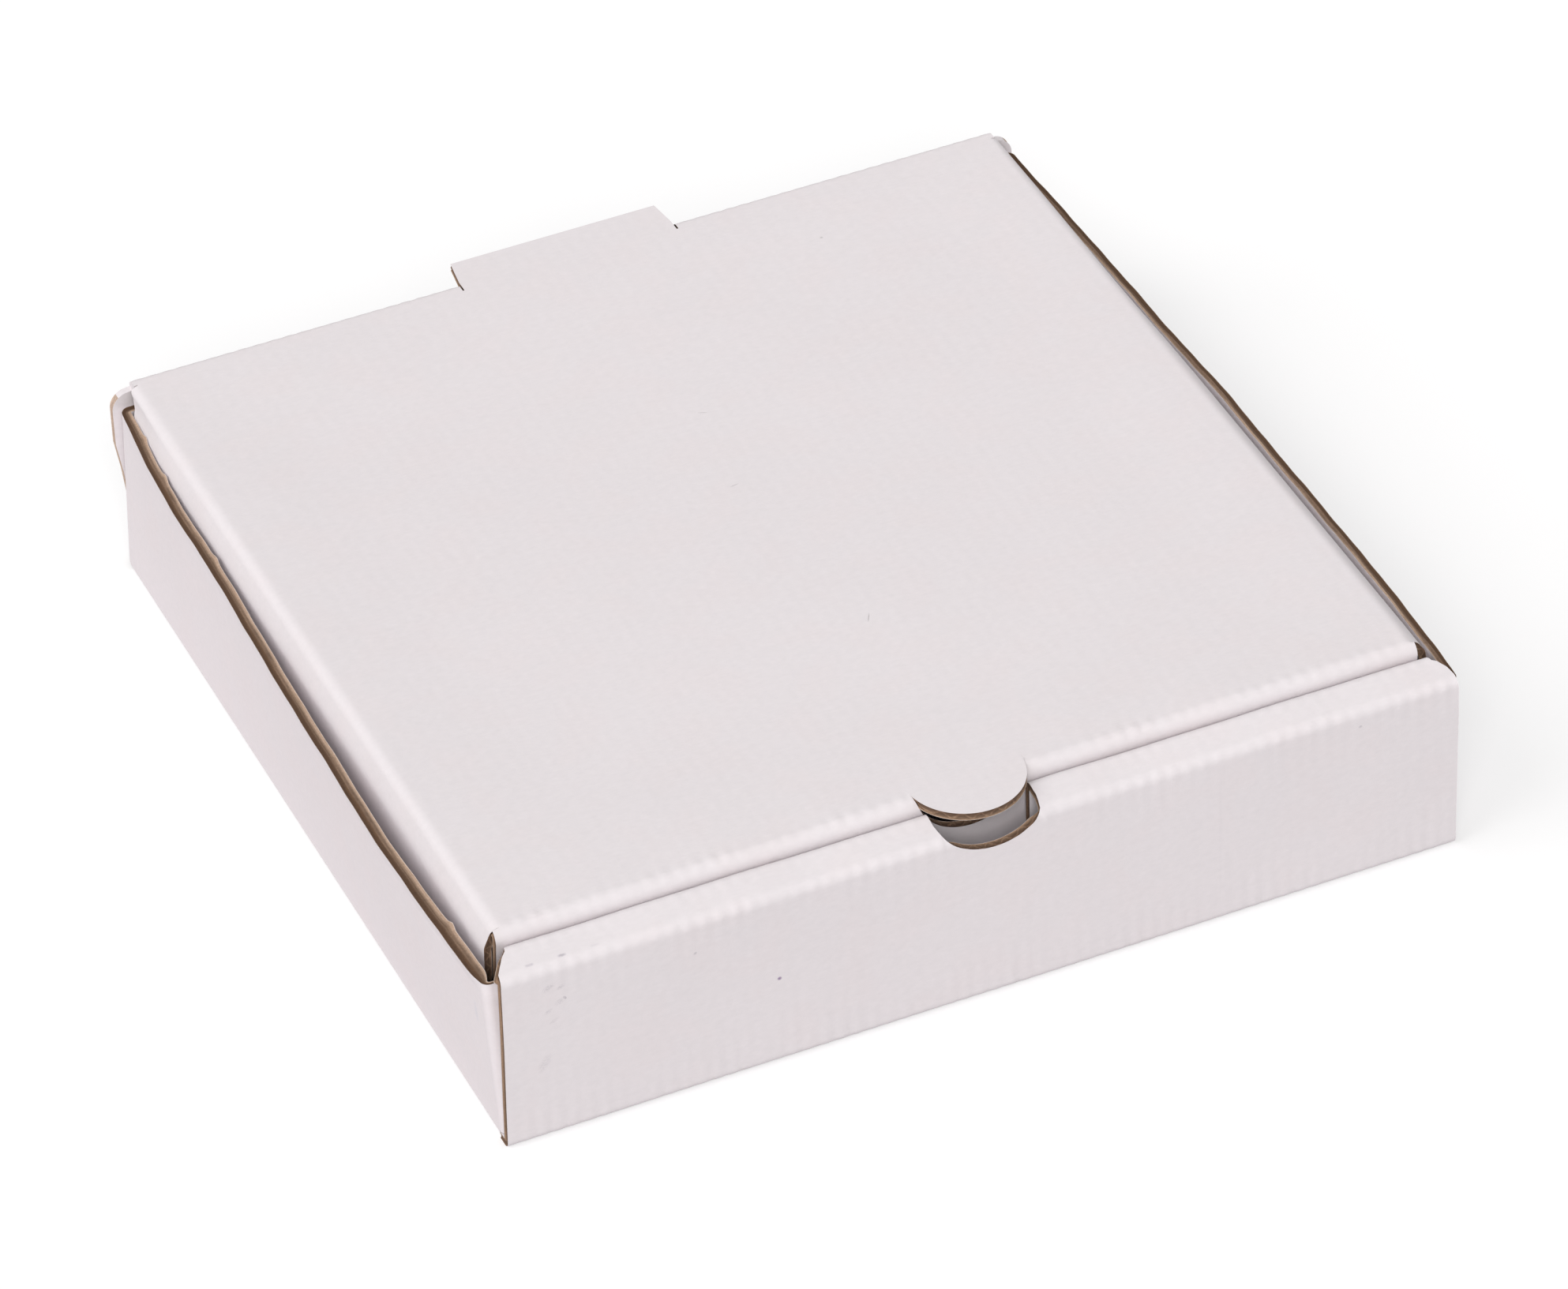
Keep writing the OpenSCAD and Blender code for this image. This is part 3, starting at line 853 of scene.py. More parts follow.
@dataclass
class LidSheet:
    """Lid panel, dust flaps, tuck flap, thumb tab and rear tab: one sheet.

    The flat coordinates are the distance a from the middle, which runs round the side folds, and
    the distance b along the middle, from the tuck flap's free edge to the rear tab's.

    Args:
        side_x: distance of the side folds from the middle.
        side_fold: outer radius of the side folds.
        spring: how far the dust flaps stand out beyond the side folds.
        spring_z: height at which they do.
        spring_fold: outer radius of their bend there.
        right_spring: how much further the front half of the right one stands out.
        rear_pinch: how far their rear ends draw in.
        front_y: line of the front fold.
        front_fold: outer radius of the front fold.
        flap_z: height of all three flaps' free edges.
        dust_lean: how far the dust flaps' free edges draw in.
        tuck_lean: angle of the tuck flap from upright, in degrees.
        tuck_straight: height of the flaps' part that doesn't taper.
        taper: how much narrower each end of a flap is at its free edge.
        dust_front: front end of the dust flaps.
        dust_rear: rear end of the dust flaps.
        tab_x: middle of the thumb tab.
        tab_radius: radius of the thumb tab.
        tab_stretch: length of the tab as a share of its radius.
        hole_stretch: length of the hole that it leaves, likewise.
        tab_y: line of the tab's root.
        rear_half: half width of the rear tab.
        rear_end: line of its free edge.
        rear_taper: how much narrower each side is there.
        still_half: distance from the middle up to which the panel's columns keep their place.
        rear_still_half: the same on the rear tab.
        hole_margin: length in front of the hole over which the rows bend to it.
        tab_back: line behind the tab from which the rows bend to it.
        tab_fine: line behind the tab up to which the rows are fine.
        sag: depth of the panel's dip.
        sag_wave: height of the slow wave in the dip.
    """

    side_x: float = 98.9
    side_fold: float = 2.6
    spring: float = 2.1
    spring_z: float = 40.5
    spring_fold: float = 5.2
    right_spring: float = 1.1
    rear_pinch: float = 1.2
    front_y: float = -93.9
    front_fold: float = 2.6
    flap_z: float = 10.0
    dust_lean: float = 0.3
    tuck_lean: float = 6.0
    tuck_straight: float = 14.0
    taper: float = 9.0
    dust_front: float = -91.7
    dust_rear: float = 99.8
    tab_x: float = 1.35
    tab_radius: float = 12.3
    tab_stretch: float = 1.02
    hole_stretch: float = 1.11
    tab_y: float = -89.4
    rear_half: float = 24.25
    rear_end: float = 109.9
    rear_taper: float = 0.9
    still_half: float = 26.0
    rear_still_half: float = 18.0
    hole_margin: float = 4.0
    tab_back: float = -78.0
    tab_fine: float = -84.0
    sag: float = 0.5
    sag_wave: float = 0.12

    def __post_init__(self) -> None:
        """Works out the two folded sections."""
        top, x = BOX.lid_top, self.side_x
        wide = x + self.spring
        tip = wide - self.dust_lean
        self.across_section = Section(
            [(-tip, self.flap_z), (-wide, self.spring_z), (-x, top), (x, top), (wide, self.spring_z),
             (tip, self.flap_z)],
            [self.spring_fold, self.side_fold, self.side_fold, self.spring_fold])
        tip = self.front_y + (top - self.flap_z) * math.tan(math.radians(self.tuck_lean))
        self.along_section = Section([(tip, self.flap_z), (self.front_y, top), (self.rear_end, top)],
                                     [self.front_fold])
        self.middle = self.across_section.reach(2, 0, 0.0)
        self.root = self.along_section.reach(1, 0, self.tab_y)

    def _row(self, y: float) -> float:
        """Distance along the middle at which the panel passes y."""
        return self.root + y - self.tab_y

    def _below_hole(self) -> float:
        """Distance along the middle at which the rows bend up to the tab's hole."""
        return self.root - self.tab_radius - self.hole_margin

    def _beyond_flaps(self, b: Array) -> Array:
        """True in front of the dust flaps and behind them."""
        return (b < self._row(self.dust_front) - NEAR) | (b > self._row(self.dust_rear) + NEAR)

    def _sag_at(self, x: Array, y: Array) -> Array:
        """How far the panel lies below its folds: a shallow dip with a slow wave."""
        dip = smooth(self.front_y + 4.0, self.front_y + 40.0, y) * (1 - smooth(60.0, 98.0, y)) \
            * (1 - smooth(70.0, 97.0, np.abs(x)))
        return dip * (self.sag + self.sag_wave * np.sin(y / 17.0 + x / 29.0))

    def _fold(self, flat: Array, depth: Array) -> Array:
        """Folds flat points: round the side folds, then round the front fold unless marked as the tab.

        Args:
            flat: points of the flat sheet.
            depth: depth below the outer face.

        Returns:
            The folded points.
        """
        a, b, tab = flat[:, 0], flat[:, 1], flat[:, 2] > 0.5
        end = self.along_section.bend_at(0)[1]
        lift = 0.055 * flute_ripple(a) * swell(b, end - 0.4, 1.8)
        lift += swell(b, end, 6.0) * ripple(a, [(0.10, 71.0, 2.0), (0.06, 26.0, 0.6)])
        lift = np.where(tab, 0.0, lift)
        sunk = depth - lift * (1 - depth / BOARD.thickness)
        x, height = self.across_section.place(a + self.middle, sunk)
        flat_part = self._beyond_flaps(b)
        x, height = np.where(flat_part, a, x), np.where(flat_part, BOX.lid_top - sunk, height)
        under = BOX.lid_top - height
        y, z = self.along_section.place(b, under)
        y = np.where(tab, b - self.root + self.tab_y, y)
        z = np.where(tab, BOX.lid_top - under, z)
        z = z - self._sag_at(x, y)
        spring = np.where(x > 0, self.right_spring * (1 - smooth(10.0, 55.0, y)), 0.0)
        spring = spring - self.rear_pinch * smooth(78.0, 98.0, y)
        x = x + np.where(flat_part, 0.0, np.sign(x) * spring * smooth(0.5, 3.5, under))
        return np.stack([x, y, z], axis=1)

    def _seam(self, middle: Array) -> Array:
        """True along the line where the hinge crease carries on."""
        on_line = np.abs(middle[:, 1] - self._row(BOX.seam_y)) < 0.01
        return on_line & (np.abs(middle[:, 0]) > self.rear_half + 0.01)

    def _grid(self) -> tuple[Array, Array, int]:
        """Columns, rows with the tab's root line twice, and the number of its second copy.

        Returns:
            The columns, the rows and that number.
        """
        sections = self.across_section
        folds = [v - self.middle for v in sections.breaks(0.5)]
        circle = self.tab_x + self.tab_radius * np.sin(np.linspace(-math.pi / 2, math.pi / 2, 57))
        ends = [side * half for half in (self.middle, BOX.lid_half, self.rear_half, self.still_half)
                for side in (-1, 1)]
        fold_ranges = [(a - self.middle, b - self.middle) for a, b in sections.fine(0.5)]
        outer = graded([*ends, *folds, circle[0], circle[-1]],
                       [*fold_ranges, (-BOX.lid_half, BOX.lid_half)], 0.56, 3.0)
        outer = outer[(outer <= circle[0]) | (outer >= circle[-1])]
        columns = np.unique(np.round(np.concatenate([outer, circle]), 6))
        along = self.along_section
        before = graded([0.0, along.reach(0, 1, BOX.lid_top - self.tuck_straight), self._below_hole(),
                         *along.breaks(), self._row(self.dust_front), self.root],
                        [*along.fine(1.5), (self.root - 3.0, self.root)], 0.42, 3.0)
        behind = [self._row(y) for y in (self.tab_fine, self.tab_back, self.dust_rear, BOX.seam_y,
                                         BOX.half_depth, self.rear_end)]
        after = graded([self.root, *behind], [(self.root, behind[0])], 0.8, 6.0)
        return columns, np.concatenate([before, after]), len(before)

    def build(self) -> bpy.types.Object:
        """Lays out the lid's cut and folds it.

        Rows behind the root line bend to the tab's arc, and rows in front of it to the hole's.

        Returns:
            The piece.
        """
        columns, rows, split = self._grid()
        a, b = np.meshgrid(columns, rows)
        index = np.arange(len(rows))[:, None] * np.ones_like(a)
        off = np.clip(np.abs(a - self.tab_x), 0.0, self.tab_radius)
        reach = np.sqrt(self.tab_radius**2 - off**2)
        inside = np.abs(a - self.tab_x) < self.tab_radius - 1e-6
        behind = self._row(self.tab_back)
        t = (behind - b) / (behind - self.root)
        on_tab = inside & (index >= split) & (b < behind + 1e-4)
        b_tab = behind - t * (behind - self.root + reach * self.tab_stretch)
        below = self._below_hole()
        u = (b - below) / (self.root - below)
        on_hole = inside & (index < split) & (b > below - 1e-4)
        b_hole = below + u * (self.root - reach * self.hole_stretch - below)
        mark = (on_tab & (b_tab < self.root - 1e-6)).astype(float)
        _, flap_height = self.across_section.place(a + self.middle, 0.0)
        down = BOX.lid_top - flap_height
        front, length = self._row(self.dust_front), self.dust_rear - self.dust_front
        on_dust = (np.abs(a) > BOX.lid_half) & (b >= front - 1e-6) & (b <= front + length + 1e-6)
        front_cut = down * math.tan(math.radians(self.tuck_lean)) \
            + 2 * self.taper * np.maximum(down - self.tuck_straight, 0.0) / (BOX.lid_top - self.flap_z)
        rear_cut = np.interp(down, [1.0, 4.5, BOX.lid_top - self.flap_z], [0.0, 2.2, self.taper])
        b_dust = front + front_cut + (b - front) * (length - front_cut - rear_cut) / length
        b_new = np.select([on_tab, on_hole, on_dust], [b_tab, b_hole, b_dust], b)

        _, tuck_height = self.along_section.place(b, 0.0)
        straight = BOX.lid_top - self.tuck_straight
        cut = self.taper * np.clip((straight - tuck_height) / (straight - self.flap_z), 0.0, 1.0)
        edge = np.where(a < 0, BOX.panel_left, BOX.panel_right) - cut
        edge = np.where(b > self._row(self.dust_rear) + NEAR, BOX.hinge_half, edge)
        on_panel = self._beyond_flaps(b) & (np.abs(a) < BOX.lid_half + NEAR)
        a_new = np.where(on_panel, stretch(a, self.still_half, BOX.lid_half, edge), a)
        along_tab = (b - self._row(BOX.half_depth)) / (self.rear_end - BOX.half_depth)
        rear_edge = self.rear_half - self.rear_taper * np.clip(along_tab, 0.0, 1.0)
        on_rear = b > self._row(BOX.seam_y)
        a_new = np.where(on_rear, stretch(a, self.rear_still_half, self.rear_half, rear_edge), a_new)

        am = np.abs(columns[:-1] + columns[1:])[None, :] / 2
        bm = (rows[:-1] + rows[1:])[:, None] / 2
        keep = np.where(am < BOX.lid_half, bm < self._row(BOX.seam_y), (bm > front) & (bm < front + length))
        keep |= (am < self.rear_half) & (bm > self._row(BOX.seam_y))
        keep[split - 1, :] = False
        sheet = FoldedSheet.from_grid("lid_sheet", a_new, b_new, mark, keep, fold=self._fold,
                                      across=lambda flat: flat[:, 0], seam=self._seam)
        return sheet.build()


@dataclass
class HingeCrease:
    """The fold between the back wall and the lid, on one side of the rear tab's window.

    The flat coordinates are x and the distance s from the lid's seam round to the back wall's.
    """

    name: str
    side: int
    still_half: float = 88.0

    def __post_init__(self) -> None:
        """Works out the folded section."""
        self.section = Section([(BOX.seam_y, BOX.lid_top), (BOX.half_depth, BOX.lid_top),
                                (BOX.half_depth, BOX.seam_z)], [BOARD.fold])
        self.end = float(self.section.knots[-1])

    def _fold(self, flat: Array, depth: Array) -> Array:
        """Folds flat points round the section, with scallops on the outer face.

        Args:
            flat: points of the flat sheet.
            depth: depth below the outer face.

        Returns:
            The folded points.
        """
        start, end = self.section.bend_at(0)
        fade = swell(flat[:, 1], (start + end) / 2, 0.8)
        lift = 0.04 * flute_ripple(flat[:, 0]) * fade
        y, z = self.section.place(flat[:, 1], depth - lift * (1 - depth / BOARD.thickness))
        return np.stack([self.side * flat[:, 0], y, z], axis=1)

    def _seam(self, middle: Array) -> Array:
        """True at both long edges, where the lid and the wall carry on, and at the outer end."""
        at_seams = (middle[:, 1] < NEAR) | (middle[:, 1] > self.end - NEAR)
        return at_seams | (middle[:, 0] > BOX.hinge_half - 0.5)

    def build(self) -> bpy.types.Object:
        """Lays out the strip and folds it.

        Returns:
            The piece.
        """
        x = graded([BOX.window_half, self.still_half, BOX.half_width], [], 0.56, 0.56)
        s = graded([0.0, self.end, *self.section.bend_at(0)], [(0.0, self.end)], 0.2, 0.2)
        xx, ss = np.meshgrid(x, s)
        _, z = self.section.place(ss, 0.0)
        rise = np.clip(z - (BOX.back_top - BOX.back_corner), 0.0, BOX.back_corner)
        corner = BOX.half_width - BOX.back_corner + np.sqrt(BOX.back_corner**2 - rise**2)
        edge = np.where(z < BOX.back_top, corner, BOX.hinge_half)
        xx = stretch(xx, self.still_half, BOX.half_width, edge)
        keep = np.ones((len(s) - 1, len(x) - 1), bool)
        sheet = FoldedSheet.from_grid(self.name, xx, ss, np.zeros_like(xx), keep, fold=self._fold,
                                      across=lambda flat: flat[:, 0], seam=self._seam)
        return sheet.build()


Value = Any


class Wire:
    """A node's output that takes part in sums; each operator adds a Math node."""

    def __init__(self, tree: bpy.types.NodeTree, socket: bpy.types.NodeSocket) -> None:
        """Keeps the tree and the socket."""
        self.tree, self.socket = tree, socket

    def _math(self, operation: str, *values: Value, clamp: bool = False) -> "Wire":
        """Adds a Math node.

        Args:
            operation: the node's operation.
            *values: numbers or wires for its sockets.
            clamp: true to keep the result between 0 and 1.

        Returns:
            The node's result.
        """
        node = self.tree.nodes.new("ShaderNodeMath")
        node.operation, node.use_clamp = operation, clamp
        for socket, value in zip(node.inputs, values):
            if isinstance(value, Wire):
                self.tree.links.new(value.socket, socket)
            else:
                socket.default_value = value
        return Wire(self.tree, node.outputs[0])

    def __add__(self, other: Value) -> "Wire":
        """Sum."""
        return self._math("ADD", self, other)

    def __radd__(self, other: Value) -> "Wire":
        """Sum, from the right."""
        return self._math("ADD", other, self)

    def __sub__(self, other: Value) -> "Wire":
        """Difference."""
        return self._math("SUBTRACT", self, other)

    def __rsub__(self, other: Value) -> "Wire":
        """Difference, from the right."""
        return self._math("SUBTRACT", other, self)

    def __mul__(self, other: Value) -> "Wire":
        """Product."""
        return self._math("MULTIPLY", self, other)

    def __rmul__(self, other: Value) -> "Wire":
        """Product, from the right."""
        return self._math("MULTIPLY", other, self)

    def __truediv__(self, other: Value) -> "Wire":
        """Quotient."""
        return self._math("DIVIDE", self, other)

    def __abs__(self) -> "Wire":
        """Size without its sign."""
        return self._math("ABSOLUTE", self)

    def sine(self) -> "Wire":
        """Sine of an angle in radians."""
        return self._math("SINE", self)

    def clipped(self) -> "Wire":
        """Kept between 0 and 1."""
        return self._math("ADD", self, 0.0, clamp=True)

    def lower_of(self, other: Value) -> "Wire":
        """The lower of two values."""
        return self._math("MINIMUM", self, other)

    def higher_of(self, other: Value) -> "Wire":
        """The higher of two values."""
        return self._math("MAXIMUM", self, other)

    def remainder(self, period: float) -> "Wire":
        """What is left over each period, never negative."""
        return self._math("FLOORED_MODULO", self, period)

    def rises(self, low: float, high: float) -> "Wire":
        """Smooth step: 0 up to low, 1 from high on; the other way round where low is the higher."""
        t = ((self - low) / (high - low)).clipped()
        return t * t * (3.0 - 2.0 * t)


class Tree:
    """Adds nodes to one node tree."""

    def __init__(self, tree: bpy.types.NodeTree) -> None:
        """Keeps the tree."""
        self.tree = tree

    def add(self, kind: str, settings: dict[str, Any], inputs: dict[str | int, Value],
            output: str | int = 0) -> Wire:
        """Adds a node of any kind.

        Args:
            kind: the node's type.
            settings: its properties, which are set first.
            inputs: numbers, colours or wires for its sockets, by name or number.
            output: name or number of the output that is wanted.

        Returns:
            That output.
        """
        node = self.tree.nodes.new(kind)
        for name, value in settings.items():
            setattr(node, name, value)
        for key, value in inputs.items():
            if isinstance(value, Wire):
                self.tree.links.new(value.socket, node.inputs[key])
            else:
                node.inputs[key].default_value = value
        return Wire(self.tree, node.outputs[output])

    def feed(self, value: Wire, node: bpy.types.Node, name: str) -> None:
        """Connects a wire to the named input of a node."""
        self.tree.links.new(value.socket, node.inputs[name])

    def place(self) -> Wire:
        """Object coordinates."""
        return self.add("ShaderNodeTexCoord", {}, {}, "Object")

    def map_axes(self, name: str) -> tuple[Wire, Wire]:
        """The two coordinates of a UV map.

        Args:
            name: name of the map.

        Returns:
            Its first and second coordinate.
        """
        uv = self.add("ShaderNodeUVMap", {"uv_map": name}, {})
        split = self.tree.nodes.new("ShaderNodeSeparateXYZ")
        self.tree.links.new(uv.socket, split.inputs[0])
        return Wire(self.tree, split.outputs[0]), Wire(self.tree, split.outputs[1])

    def noise(self, scale: float, detail: float = 2.0, rough: float = 0.5,
              stretch_by: tuple[float, ...] = (1, 1, 1), shift: tuple[float, ...] = (0, 0, 0)) -> Wire:
        """Noise on the piece's Object coordinates.

        Args:
            scale: cells per metre.
            detail: number of finer layers.
            rough: strength of the finer layers.
            stretch_by: factor on each axis before the noise.
            shift: offset in metres.

        Returns:
            The noise, from 0 to 1.
        """
        vector = self.add("ShaderNodeMapping", {},
                          {"Vector": self.place(), "Scale": stretch_by, "Location": shift})
        return self.add("ShaderNodeTexNoise", {"noise_dimensions": "3D"},
                        {"Vector": vector, "Scale": scale, "Detail": detail, "Roughness": rough})

    def combine(self, x: Value, y: Value, z: Value = 0.0) -> Wire:
        """A vector from three numbers."""
        return self.add("ShaderNodeCombineXYZ", {}, {0: x, 1: y, 2: z})

    def blend_colours(self, share: Value, low: Value, high: Value) -> Wire:
        """A colour between two others.

        Args:
            share: 0 for the first, 1 for the second.
            low: the first colour.
            high: the second colour.

        Returns:
            The colour between them.
        """
        return self.add("ShaderNodeMix", {"data_type": "RGBA", "blend_type": "MIX", "clamp_factor": True},
                        {0: share, 6: low, 7: high}, 2)

    def shaded(self, colour: Value, factor: Value) -> Wire:
        """A colour times a number."""
        return self.add("ShaderNodeMix", {"data_type": "RGBA", "blend_type": "MULTIPLY"},
                        {0: 1.0, 6: colour, 7: self.combine(factor, factor, factor)}, 2)

    def bump(self, height: Wire, distance: float, strength: float = 1.0, under: Wire | None = None) -> Wire:
        """A normal from a height.

        Args:
            height: the height, from 0 to 1.
            distance: metres that 1 stands for.
            strength: strength of the effect.
            under: normal of the layer below, where there is one.

        Returns:
            The normal.
        """
        inputs: dict[str | int, Value] = {"Height": height, "Distance": distance, "Strength": strength}
        if under is not None:
            inputs["Normal"] = under
        return self.add("ShaderNodeBump", {}, inputs)


def opaque(rgb: Sequence[float]) -> tuple[float, float, float, float]:
    """A linear colour with full alpha."""
    return float(rgb[0]), float(rgb[1]), float(rgb[2]), 1.0


def new_material(name: str, roughness: float) -> tuple[bpy.types.Material, Tree, bpy.types.Node]:
    """Makes an empty matt material.

    Args:
        name: name of the material.
        roughness: roughness of its surface.

    Returns:
        The material, its tree, and its shader node.
    """
    material = bpy.data.materials.new(name)
    material.use_nodes = True
    shader = material.node_tree.nodes["Principled BSDF"]
    shader.inputs["Roughness"].default_value = roughness
    shader.inputs["Specular IOR Level"].default_value = 0.35
    return material, Tree(material.node_tree), shader


@dataclass(frozen=True)
class Mark:
    """A small dirty or rubbed place, as an ellipse on the flat sheet's outer liner.

    Args:
        at: middle on the flat sheet, in mm.
        size: half length and half width, in mm.
        strength: how strongly its colour shows.
        colour: its linear colour.
        turn: angle of its length, in degrees.
        broken: how much the fibres break it up, from 0 to 1.
    """

    at: tuple[float, float]
    size: tuple[float, float]
    strength: float
    colour: tuple[float, float, float] = (0.30, 0.26, 0.30)
    turn: float = 0.0
    broken: float = 0.5


@dataclass(frozen=True)
class Liner:
    """White coated paper over the flutes.

    Args:
        name: name of the material.
        colour: linear colour of the paper.
        flute_show: height in metres by which the flutes show through.
        marks: small dirty places.
        scuff_rows: dashes of rubbed ink along a fold, as (s, first x, last x, spacing, strength).
        warmth: factors on the paper's colour in its warmer clouds.
        dash_share: half length of a dash as a share of the spacing.
        dash_half: half width of a dash, in mm.
        dash_colour: linear colour of the dashes.
        grain: height of the paper's grain in metres.
    """

    name: str
    colour: tuple[float, float, float] = (0.774, 0.731, 0.745)
    flute_show: float = 0.000013
    marks: Sequence[Mark] = ()
    scuff_rows: Sequence[tuple[float, float, float, float, float]] = ()
    warmth: tuple[float, float, float] = (1.008, 0.990, 0.985)
    dash_share: float = 0.16
    dash_half: float = 0.42
    dash_colour: tuple[float, float, float] = (0.42, 0.38, 0.44)
    grain: float = 0.00010

    def _dirt(self, tree: Tree, colour: Wire) -> Wire:
        """Lays the marks and the rows of dashes over the paper's colour.

        Args:
            tree: the material's tree.
            colour: the clean paper.

        Returns:
            The colour with its dirt.
        """
        x, s = tree.map_axes("plan")
        _, share = tree.map_axes("board")
        outside = 1.0 - share.clipped()
        speckle = tree.noise(2600.0)
        for mark in self.marks:
            c, n = math.cos(math.radians(mark.turn)), math.sin(math.radians(mark.turn))
            dx, ds = x - mark.at[0], s - mark.at[1]
            along, over = (dx * c + ds * n) / mark.size[0], (ds * c - dx * n) / mark.size[1]
            inside = (1.0 - (along * along + over * over)).clipped()
            worn = 1.0 - mark.broken * speckle.rises(0.40, 0.62)
            colour = tree.blend_colours(inside * worn * outside * mark.strength, colour, opaque(mark.colour))
        for row, first, last, spacing, strength in self.scuff_rows:
            off = abs((x - first + spacing / 2).remainder(spacing) - spacing / 2)
            dash = 1.0 - off / (spacing * self.dash_share)
            fade = (1.0 - (x - first + spacing / 2) / (last - first)).clipped() \
                * x.rises(first - spacing, first - 1.0)
            line = 1.0 - abs(s - row) / self.dash_half
            mask = dash.clipped().rises(0.0, 0.5) * line.clipped() * fade * outside * strength
            colour = tree.blend_colours(mask * (0.4 + 1.1 * speckle), colour, opaque(self.dash_colour))
        return colour

    def make(self) -> bpy.types.Material:
        """Builds the material.

        The colour is the paper's, with cloudy and fine mottling. The height is a sine of the
        flutes' pitch, with paper fibres over it.

        Returns:
            The material.
        """
        material, tree, shader = new_material(self.name, 0.72)
        across, _ = tree.map_axes("board")
        cloudy = tree.noise(38.0, 3.0, 0.6)
        mottle = tree.noise(640.0, 3.0, 0.62)
        fibre = tree.noise(1500.0, 2.0, 0.5, (0.35, 1.0, 1.0), (0.2, 0.1, 0.4))
        tone = 1.0 + (cloudy - 0.5) * 0.030 + (mottle - 0.5) * 0.075 + (fibre - 0.5) * 0.05
        colour = tree.shaded(opaque(self.colour), tone)
        warm = tree.noise(90.0, shift=(0.7, 0.3, 0.1)).rises(0.42, 0.66)
        tint = opaque([c * f for c, f in zip(self.colour, self.warmth)])
        colour = tree.blend_colours(warm * 0.5, colour, tree.shaded(tint, tone))
        colour = self._dirt(tree, colour)
        tree.feed(colour, shader, "Base Color")
        rough = 0.70 + (mottle - 0.5) * 0.22
        tree.feed(rough, shader, "Roughness")
        flutes = 0.5 + 0.5 * (across * (2 * math.pi / BOARD.pitch) + (cloudy - 0.5) * 2.4).sine()
        low = tree.bump(flutes, self.flute_show)
        high = tree.bump(mottle * 0.6 + fibre * 0.4, self.grain, 0.55, low)
        tree.feed(high, shader, "Normal")
        return material


@dataclass(frozen=True)
class RawEdge:
    """The cut edge of the board: brown paper in streaks, darker on its outer side, with painted shade in its
    hollows.

    Args:
        name: name of the material.
        outer: linear colour of the cut paper beside the outer liner.
        inner: linear colour of the cut paper beside the inner liner.
        hollow: linear colour painted into the flutes' hollows as their shade.
        skin: linear colour of the white coating's cut line, on the outermost hundredths.
        change: share of the thickness at which the outer colour gives way to the inner one.
        flute_show: how strongly the painted shade of the hollows shows beside the wave, from 0 to 1.
        pale: linear colour of the cut paper where it is bleached.
        pale_until: distance along the flat sheet up to which it is bleached, or 0 for nowhere.
        pale_fade: length over which the bleaching fades in, in mm.
        relief: height of the torn paper in metres.
    """

    name: str
    outer: tuple[float, float, float] = (0.19, 0.112, 0.070)
    inner: tuple[float, float, float] = (0.33, 0.215, 0.140)
    hollow: tuple[float, float, float] = (0.060, 0.034, 0.021)
    skin: tuple[float, float, float] = (0.70, 0.63, 0.58)
    change: float = 0.55
    flute_show: float = 0.55
    pale: tuple[float, float, float] = (0.60, 0.46, 0.37)
    pale_until: float = 0.0
    pale_fade: float = 6.0
    relief: float = 0.00018

    def make(self) -> bpy.types.Material:
        """Builds the material.

        The wave runs at 0.5 + wave * sin(2 pi across / pitch) of the thickness, as in the mesh, and is
        torn by noise. Streaks run along the cut: noise that is drawn out across the flutes.

        Returns:
            The material.
        """
        material, tree, shader = new_material(self.name, 0.88)
        across, share = tree.map_axes("board")
        wobble = tree.noise(260.0, 3.0, 0.65)
        fine = tree.noise(2300.0, 3.0, 0.6)
        along = tree.combine(across * 0.35, share * 5.5)
        streak = tree.add("ShaderNodeTexNoise", {"noise_dimensions": "3D"},
                          {"Vector": along, "Scale": 1.0, "Detail": 4.0, "Roughness": 0.62})
        wave = 0.5 + BOARD.wave * (across * (2 * math.pi / BOARD.pitch) + (wobble - 0.5) * 3.0).sine() \
            + (wobble - 0.5) * 0.35
        on_wave = abs(share - wave).rises(0.24, 0.04)
        rim = share.lower_of(1.0 - share)
        on_liner = (rim + (wobble - 0.5) * 0.12).rises(0.22, 0.05)
        cut = on_wave.higher_of(on_liner)
        # Painted shade: where neither the wave nor a liner stands out, the hollow colour darkens the paper as
        # the shade inside the flutes.
        shown = 1.0 - self.flute_show * (1.0 - cut)
        light = (shown * (0.25 + 1.4 * streak)).clipped()
        inward = (share + (streak - 0.5) * 0.8).rises(self.change - 0.3, self.change + 0.3)
        paper = tree.blend_colours(inward, opaque(self.outer), opaque(self.inner))
        colour = tree.blend_colours(light, opaque(self.hollow), paper)
        if self.pale_until > 0.0:
            _, s = tree.map_axes("plan")
            bleached = s.rises(self.pale_until, self.pale_until - self.pale_fade)
            colour = tree.blend_colours(bleached * (0.6 + 0.3 * light), colour, opaque(self.pale))
        colour = tree.blend_colours(rim.rises(0.05, 0.01) * 0.75, colour, opaque(self.skin))
        colour = tree.shaded(colour, 0.66 + 0.68 * fine)
        tree.feed(colour, shader, "Base Color")
        normal = tree.bump(light * 0.6 + fine * 0.4, self.relief, 0.8)
        tree.feed(normal, shader, "Normal")
        return material


def dress(piece: bpy.types.Object, liner: Liner, edge: bpy.types.Material) -> None:
    """Gives a sheet its liner and its raw edge, in the order of Face.

    Args:
        piece: the sheet.
        liner: finish of both liners.
        edge: material of the raw edge.
    """
    piece.data.materials.append(liner.make())
    piece.data.materials.append(edge)


